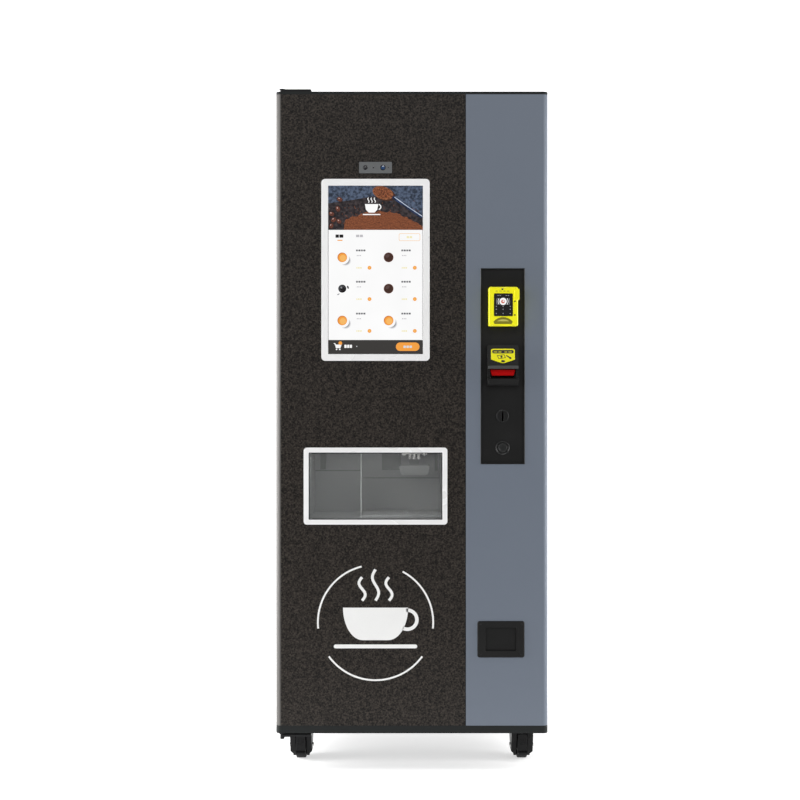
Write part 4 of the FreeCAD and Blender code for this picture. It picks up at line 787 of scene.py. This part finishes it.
def validator_face():
    """Yellow label plate on the sloping face, grey lip of the ledge, and the red throat."""
    x = middle("bill_validator")[0]
    seat, top = payment_seat(), box_mm("bill_validator")[1].z
    slope = Vector((0, -10, -56)).normalized()
    origin = Vector((x, seat - 8, top))
    label = Piece("validator_label", "door", "yellow_plastic")
    outline = [(-33.5, 15), (-31.5, 12.2), (-28.5, 11), (28.5, 11), (31.5, 12.2), (33.5, 15),
               (33.5, 42), (6, 51.5), (0, 52.5), (-6, 51.5), (-33.5, 42)]
    label.slab(outline, origin, X, slope, 1.6, 0.7, "label_yellow")
    label.done()
    art = Art("validator_artwork", "door", origin + slope.cross(X) * 1.6, "yellow_plastic", X, slope)
    ink, pale = "ink_dark", "label_yellow"
    art.add(bar(-30.5, 14.6, 30.5, 24.6), ink)
    for start, end in ((-26, -16), (-13, -4), (4, 12), (15, 25)):
        art.add(bar(start, 19.6, end, 21.4, 0.8), pale, 2)
    note = [(-17, 30), (4, 27.5), (8, 37), (-12, 41)]
    art.add(note, ink, 1)
    art.add([(-14.8, 31.3), (2.8, 29.2), (5.6, 36), (-11, 39.2)], pale, 2)
    art.add(disc(-4.4, 34, 3.2), ink, 3)
    art.add([(10, 29), (22, 36.5), (20, 39.5), (8.5, 31.5)], ink, 1)
    art.add([(17, 41), (23.5, 40.5), (22, 34)], ink, 1)
    art.add(disc(0, 47, 5.6, 0.6), ink, 1)
    art.done()

    lip = Piece("validator_ledge", "door", "grey_plastic")
    lip.slab(bar(-42.5, 0, 42.5, 9, 1), (x, seat - 22, top - 58.4), X, -Z, 0.8, 0.3, "ledge")
    lip.done()
    throat = Piece("validator_throat", "door", "black_plastic")
    lean = Vector((0, -2, -24)).normalized()
    mouth = [(-36.2, 0), (36.2, 0), (30.5, 17), (-30.5, 17)]
    throat.slab(mouth, (x, seat - 4.1, top - 70), X, lean, 6, 1.2, "throat_red")
    throat.done()


def coin_parts():
    """Fine rings round the coin slot and the return button."""
    rim = "coin_rim"
    low = box_mm("coin_entry")[0]
    x, _, z = middle("coin_entry")
    ring = Piece("coin_ring", "door", "black_plastic")
    ring.turned([(17.6, 0), (17.6, 0.7), (16.6, 1.1), (15.8, 0.7), (15.8, 0)], (x, low.y, z), -Y, rim, 48)
    ring.done()
    low = box_mm("coin_return_button")[0]
    x, _, z = middle("coin_return_button")
    cap = Piece("button_cap", "coin_button", "black_plastic")
    cap.turned([(12.3, 0), (12.3, 0.4), (11.4, 0.8), (10.4, 0.3), (0, 0.1)], (x, low.y, z), -Y, rim, 48)
    cap.done()
    collar = Piece("button_collar", "door", "black_plastic")
    collar.turned([(19.6, 0), (19.6, 1.2), (18.9, 1.8), (17.6, 1.4), (15.4, 0.1)],
                  (x, payment_seat() - 2, z), -Y, rim, 56)
    collar.done()


# ---- chamber
def chamber_details():
    """Seams and painted shade patches of the back wall, the lamp, a post, the divider's lip and the gasket."""
    low, high = box_mm("cup_chamber")
    wall = 2
    left, right, roof, back = low.x + wall, high.x - wall, high.z - wall, high.y - wall
    divider = box_mm("chamber_divider")
    seams = Art("chamber_seams", "cabinet", (0, back, 0), "chamber_grey")

    def patch(x0, x1, z0, z1, finish):
        seams.add(block(x0, -z1, x1, -z0), finish)

    patch(left, divider[0].x, 830.5, 832.5, "seam")
    patch(divider[1].x, right, 808, 810, "seam")
    # Painted shade on the back wall below the roof.
    patch(-89, -31, 833, roof, "shade")
    patch(72, 82, 831, roof, "shade")
    seams.done()
    strip = Piece("chamber_lamp", "cabinet", "white_plastic")
    strip.slab(bar(left + 12, 0, right - 12, 10, 3), (0, low.y + 12, roof), X, Y, 4, 1.2, "lamp")
    strip.done()
    post = Piece("chamber_post", "cabinet", "chamber_grey")
    post.slab(bar(-277, 0, -260, 66, 2), (0, back, roof), X, -Z, 8, 1, "shade")
    post.done()
    lip = Piece("divider_lip", "cabinet", "chamber_grey")
    x, y = middle("chamber_divider")[0], divider[0].y
    lip.tube([(x, y, divider[0].z + 1), (x, y, divider[1].z - 1)], 1.9, "pale_lip", 10)
    lip.done()
    window_gasket()


def window_gasket():
    """Black rubber lip around the inside of the window frame."""
    low, high = box_mm("window_frame")
    frame_width, overlap, radius = 14, 0.4, 1.5
    inset = frame_width - overlap
    depth = low.y + 2.5
    lip = Piece("window_gasket", "door", "soft_rubber")
    corners = block(low.x + inset, low.z + inset, high.x - inset, high.z - inset)
    for (ax, az), (bx, bz) in zip(corners, corners[1:] + corners[:1]):
        run = Vector((bx - ax, 0, bz - az)).normalized() * radius
        inward = Vector((run.z, 0, -run.x)) * -1
        start = Vector((ax, depth, az)) + inward
        end = Vector((bx, depth, bz)) + inward
        lip.tube([start + run, end - run], radius, "soft_rubber", 10)
    lip.done()


# ---- casters
def caster_fittings():
    """Wheel hubs and grooves, axle nuts, plate bolts and pedal ribs."""
    for place in CORNERS:
        low, high = box_mm("caster_wheel_" + place)
        x, y, z = (low + high) / 2
        half = (high.x - low.x) / 2
        radius = (high.z - low.z) / 2 - 0.55
        hub = Piece("hub_" + place, "wheel_" + place, "grey_plastic")
        dish = [(27.6, 0), (27.6, 0.8), (25.5, 1.6), (14, 1.2), (11, 2.6), (10.2, 3.4), (6, 3.4), (6, 0)]
        for side in (-1, 1):
            at = (x + side * (half - 4), y, z)
            hub.turned(dish, at, X * side, "hub_grey", 40)
        for lift in (-6.5, 0, 6.5):
            groove = ((0, 0), (0.5, 0.15), (0.5, 0.35), (0, 0.5))
            rib = [(radius + r, lift + d * 3 - 0.75) for r, d in groove]
            hub.turned(rib, (x, y, z), X, "soft_rubber", 64)
        hub.done()
        nuts = Piece("axle_nuts_" + place, "fork_" + place, "stainless")
        for side in (-1, 1):
            at = (x + side * 31.5, y, z)
            nuts.turned([(7.5, 0), (7.5, 0.9), (6.6, 1.0)], at, X * side, "stainless", 28)
            nuts.turned([(6.2, 0.9), (6.2, 3.6), (5.2, 4.2), (0, 4.2)], at, X * side, "stainless", 6)
        nuts.done()
    under = box_mm("caster_plates")[1].z - 5
    bolts = Piece("caster_bolts", "cabinet", "stainless")
    head = [(5.5, 0), (5.5, 3.5), (4.6, 4.2), (0, 4.2)]
    for place in CORNERS:
        kingpin = [joint for joint in frame["joints"] if joint["name"] == "swivel_" + place][0]
        cx, cy = (kingpin["pos_m"][i] / MM for i in (0, 1))
        for dx in (-30, 30):
            for dy in (-30, 30):
                bolts.turned(head, (cx + dx, cy + dy, under), -Z, "stainless", 6)
    bolts.done()
    for side in ("left", "right"):
        low, high = box_mm("brake_pedal_" + side)
        ribs = Piece("pedal_ribs_" + side, "pedal_" + side, "caster_black")
        for z in (62, 56, 50):
            rib = bar(low.x + 4, 0, high.x - 4, 1.6)
            ribs.slab(rib, (0, low.y + 8.1, z), X, -Z, 0.9, 0.3, "caster_black")
        ribs.done()


# ---- outside of the cabinet
def outside_details():
    """Rear panel screws, the fan's wire guard, and the hinge's screws."""
    face = box_mm("rear_panel")[1].y
    places = [(x, face, z) for x in (-345, -120, 120, 345) for z in (185, 1890)]
    places += [(x, face, z) for x in (-345, 345) for z in (520, 860, 1200, 1540)]
    black_screws("rear_screws", "cabinet", places, Y, 4.2, 2)
    x, _, z = middle("fan_frame")
    guard = Piece("fan_guard", "cabinet", "stainless")
    for radius in (14, 26, 38, 50):
        circle = [(x + radius * math.cos(a), face + 5, z + radius * math.sin(a))
                  for a in (2 * math.pi * i / 56 for i in range(56))]
        guard.tube(circle, 1.1, "stainless", 8, True)
    for turn in (45, 135):
        dx, dz = 74 * math.cos(math.radians(turn)), 74 * math.sin(math.radians(turn))
        spoke = [(x + dx * reach, face + lift, z + dz * reach)
                 for reach, lift in ((-1, 1.6), (-0.72, 3.6), (0.72, 3.6), (1, 1.6))]
        guard.tube(spoke, 1.3, "stainless", 8)
    guard.screws([(x + sx * 52.5, face, z + sz * 52.5) for sx in (-1, 1) for sz in (-1, 1)], Y,
                 "stainless", 4, 2.6)
    guard.done()
    places = [(x, y, 1928) for x in (-330, -305) for y in (-205, -170)]
    black_screws("hinge_screws", "cabinet", places, Z, 4, 1.6)


# ---- inside the cabinet
def bean_fill():
    """Beans in the clear hopper: a heaped mass with whole beans over its faces."""
    low, high = box_mm("bean_hopper")
    x0, x1, y0, y1 = low.x + 4.5, high.x - 4.5, low.y + 4.5, high.y - 14
    z0 = low.z + 75
    z1 = z0 + 165
    rng = random.Random(11)

    def crown(u, v):
        return z1 + 26 * math.sin(math.pi * u) * math.sin(math.pi * v)

    mass = Piece("bean_mass", "cabinet")
    mass.slab(bar(x0, y0, x1, y1, 3), (0, 0, z0), X, Y, 0.1, 0.05, "bean_dark")
    rows = 12
    grid = mass.heap(x0, x1, y0, y1, rows, lambda u, v: crown(u, v) + rng.uniform(-1, 1), "bean_dark")
    rim = [grid[i][0] for i in range(rows + 1)] + [grid[rows][j] for j in range(1, rows + 1)]
    rim += [grid[i][rows] for i in range(rows - 1, -1, -1)]
    rim += [grid[0][j] for j in range(rows - 1, 0, -1)]
    foot = mass.loop([(v.co.x / MM, v.co.y / MM, z0) for v in rim])
    for i in range(len(rim)):
        j = (i + 1) % len(rim)
        mass.face([foot[i], foot[j], rim[j], rim[i]], "bean_dark")
    places = []
    for _ in range(330):
        u, v = rng.random(), rng.random()
        x, y = x0 + 6 + (x1 - x0 - 12) * u, y0 + 6 + (y1 - y0 - 12) * v
        places.append((x, y, crown(u, v) + rng.uniform(-2, 3)))
    for _ in range(420):
        height = rng.uniform(z0 + 4, z1)
        if rng.random() < 0.45:
            places.append((rng.uniform(x0 + 5, x1 - 5), y0 + 1.5, height))
        else:
            places.append((rng.choice((x0 + 1.5, x1 - 1.5)), rng.uniform(y0 + 5, y1 - 5), height))
    for place in places:
        turn = Matrix.Rotation(rng.uniform(0, 6.3), 4, "Z") @ Matrix.Rotation(rng.uniform(0, 6.3), 4, "X")
        size = Matrix.Diagonal((5.4 * MM, 3.6 * MM, 2.8 * MM, 1))
        move = Matrix.Translation(Vector(place) * MM)
        made = bmesh.ops.create_icosphere(mass.bm, subdivisions=2, radius=1, matrix=move @ turn @ size)
        tone = mass.index(rng.choice(("bean_skin", "bean_dark")))
        for vert in made["verts"]:
            for face in vert.link_faces:
                face.material_index = tone
                face.smooth = True
    mass.done(60)


def powder_fill():
    """Top of the powder in each canister."""
    low, high = box_mm("powder_canisters")
    rng = random.Random(5)
    pitch, width, wall = 80, 66, 4
    for i, tone in enumerate(("powder_cocoa", "powder_milk")):
        x0, level = low.x + wall + i * pitch, low.z + 150 - 14 * i
        powder = Piece("powder_%d" % (i + 1), "cabinet")
        powder.heap(x0, x0 + width, low.y + wall, high.y - wall, 10,
                    lambda u, v: level + 12 * math.sin(math.pi * v) + rng.uniform(-1.5, 1.5), tone)
        powder.done()


def pipework():
    """Fixed stainless and silicone lines between the boiler, the brewer and the spout."""
    boiler = box_mm("boiler")
    brewer = box_mm("brew_unit")
    spout_x, spout_y, _ = middle("spout_nozzles")
    boiler_x = middle("boiler")[0]
    steel = Piece("water_pipe", "cabinet", "stainless")
    z = boiler[1].z - 50
    start = Vector((boiler_x, boiler[0].y + 2, z))
    steel.tube([start, start - Y * 22, start + Vector((4, -34, 0)), start + Vector((14, -46, 0)),
                (boiler_x + 26, brewer[1].y + 30, z), (boiler_x + 20, brewer[1].y + 10, z - 6),
                (boiler_x + 10, brewer[1].y + 2, z - 10), (boiler_x + 10, brewer[1].y - 3, z - 10)], 3.2,
               "stainless", 12)
    steel.done()
    line = Piece("drink_line", "cabinet", "milky_plastic")
    low = box_mm("spout_nozzles")[1].z
    line.tube([(brewer[1].x - 2, spout_y, low + 30), (brewer[1].x + 14, spout_y, low + 30),
               (brewer[1].x + 40, spout_y, low + 24), (spout_x - 40, spout_y, low + 16),
               (spout_x - 12, spout_y, low + 10), (spout_x - 6, spout_y, low + 2),
               (spout_x - 6, spout_y, low - 3)], 4.5, "milky_plastic", 14)
    line.done()


def inside_details():
    """What the cabinet holds, and the small fittings seen with the door open."""
    bean_fill()
    powder_fill()
    pipework()
    low, high = box_mm("control_box")
    panel = Piece("control_box_screws", "cabinet", "stainless")
    panel.screws(corner_places("control_box", 12), -Y, "stainless", 3, 1.4)
    for i, tone in enumerate(("lamp_green", "lamp_amber")):
        at = (low.x + 40 + i * 16, low.y, high.z - 24)
        panel.turned([(3.4, 0), (3.4, 0.8), (2.4, 1.6), (0, 2.2)], at, -Y, tone, 20)
    panel.done()
    low, high = box_mm("grinder")
    dial = Piece("grinder_scale", "cabinet", "white_plastic")
    x, radius = middle("grinder")[0], 24
    for i in range(11):
        a = math.radians(210 - 24 * i)
        at = (x + radius * math.cos(a), low.y + 7.9, low.z + 50 + radius * math.sin(a))
        dial.turned([(0.9, 0), (0.8, 0.3), (0, 0.4)], at, -Y, "ui_pale", 10)
    dial.done()
    back = box_mm("door_frame")[1].y
    places = [(x, back, z) for x in (-368, 368) for z in (260, 640, 1260, 1640)]
    places += [(x, back, z) for x in (-200, 0, 200) for z in (140, 1898)]
    black_screws("door_frame_screws", "door", places, Y, 3.2, 1.4)


# ---- build
def make_extra_finishes(made):
    """Finishes of the print, the painted shade, the lit parts and the small added pieces."""
    for name, colour, strength in (
            ("ui_white", (1, 1, 1), 0.97), ("ui_pale", lin(222, 224, 226), 0.95),
            ("ui_shadow", lin(196, 194, 198), 0.95), ("ui_grey", lin(150, 152, 155), 0.9),
            ("ui_text", lin(70, 72, 76), 0.9), ("ui_bar", lin(58, 56, 54), 0.9),
            ("ui_haze", lin(232, 232, 234), 0.95), ("ui_ink", lin(116, 116, 120), 0.9),
            ("ui_lemon", lin(250, 240, 190), 0.95), ("ink", lin(24, 22, 24), 0.9),
            ("orange", lin(250, 164, 66), 0.95), ("amber", lin(253, 190, 104), 0.95),
            ("rust", lin(208, 112, 34), 0.95), ("reader_red", lin(214, 112, 92), 0.9),
            ("roast", lin(66, 40, 30), 0.9), ("roast_lit", lin(88, 66, 62), 0.9),
            ("bean", lin(112, 62, 50), 0.9), ("glint", lin(226, 192, 180), 0.9)):
        made[name] = Finish(name, colour, 0.15, Specular_IOR_Level=0.3).glow(strength)
    for name, scale, low, high in (
            ("slate", 140, (40, 48, 62), (88, 102, 126)), ("slate_dark", 120, (26, 22, 26), (66, 58, 60)),
            ("grounds", 420, (34, 16, 11), (170, 98, 62)), ("scoop", 160, (84, 44, 28), (168, 104, 66)),
            ("handle", 90, (14, 20, 38), (44, 62, 100)),
            ("handle_lit", 90, (164, 184, 216), (226, 234, 246))):
        shot = Finish(name, lin(*low), 0.15, Specular_IOR_Level=0.3)
        grain = shot.spread(shot.noise(scale, 4), 0.36, 0.64)
        shot.link(shot.blend(grain, lin(*low), lin(*high)), "Emission Color")
        shot.put("Emission Strength", 0.92)
        shot.put("Base Color", (0.01, 0.01, 0.01, 1))
        made[name] = shot
    # Pale grey of the payment rim's painted highlight.
    made["trim"] = Finish("trim", lin(96, 98, 100), 0.35, 0.4).grain(900, 0.1, 0.1, 0.0001)
    # Name, colour, roughness, specular level, then the grain's scale, amount and strength.
    for name, colour, rough, gloss, scale, amount, strength in (
            ("ink_dark", (0.012, 0.012, 0.012), 0.35, 0.5, 900, 0.1, 0.1),
            ("vinyl", (0.86, 0.86, 0.85), 0.4, 0.5, 800, 0.02, 0.08),
            ("recess", (0.006, 0.006, 0.006), 0.6, 0.5, 900, 0.1, 0.1),
            ("coin_rim", lin(31, 32, 32), 0.3, 0.35, 1200, 0.08, 0.2),
            ("ledge", lin(62, 64, 64), 0.5, 0.5, 1200, 0.08, 0.2),
            ("pale_lip", lin(176, 178, 177), 0.4, 0.5, 900, 0.05, 0.1),
            # The two olive finishes colour the card reader's painted shade.
            ("olive", lin(128, 122, 26), 0.4, 0.5, 1200, 0.06, 0.2),
            ("olive_pale", lin(196, 190, 96), 0.4, 0.5, 1200, 0.06, 0.2),
            ("led_off", lin(160, 156, 60), 0.2, 0.5, 1200, 0.06, 0.1),
            ("label_yellow", lin(236, 230, 24), 0.3, 0.25, 1000, 0.03, 0.08),
            ("throat_red", lin(184, 6, 8), 0.3, 0.15, 700, 0.1, 0.1),
            ("hub_grey", lin(28, 28, 29), 0.4, 0.2, 1200, 0.1, 0.2),
            ("seam", lin(92, 94, 94), 0.5, 0.5, 900, 0.08, 0.1),
            ("shade", lin(116, 118, 118), 0.5, 0.5, 900, 0.08, 0.1),
            ("funnel_grey", lin(126, 128, 128), 0.4, 0.5, 900, 0.06, 0.1)):
        plain = Finish(name, colour, rough, Specular_IOR_Level=gloss)
        made[name] = plain.grain(scale, amount, strength, 0.0001)
    for name, colour in (("lens_dark", (0.01, 0.01, 0.014)), ("lens_blue", (0.02, 0.06, 0.16))):
        lens = Finish(name, colour, 0.05, Coat_Weight=1.0, Coat_Roughness=0.02)
        made[name] = lens.uneven(200, 2, 0.03, 0.08)
    for name, colour, strength in (("lamp", (1.0, 0.98, 0.94), 9.0), ("lamp_green", (0.1, 0.9, 0.25), 0.8),
                                   ("lamp_amber", (1.0, 0.55, 0.08), 0.5)):
        made[name] = Finish(name, colour, 0.3).glow(strength)
    for name, colour, scale in (
            ("bean_skin", lin(92, 56, 36), 260), ("bean_dark", lin(58, 34, 22), 260),
            ("powder_cocoa", lin(120, 78, 52), 700), ("powder_milk", lin(235, 226, 205), 700)):
        made[name] = Finish(name, colour, 0.5).grain(scale, 0.3, 0.5, 0.0006)


studio()
FINISH = make_finishes()
make_extra_finishes(FINISH)
backdrop()
dress_frame(FINISH)
emblem()
screen()
camera_lenses()
payment_trim()
reader_face()
validator_face()
coin_parts()
black_screws("coin_cup_screws", "door", corner_places("coin_return_cup", 9), -Y, 2.6, 1.2)
chamber_details()
caster_fittings()
outside_details()
inside_details()
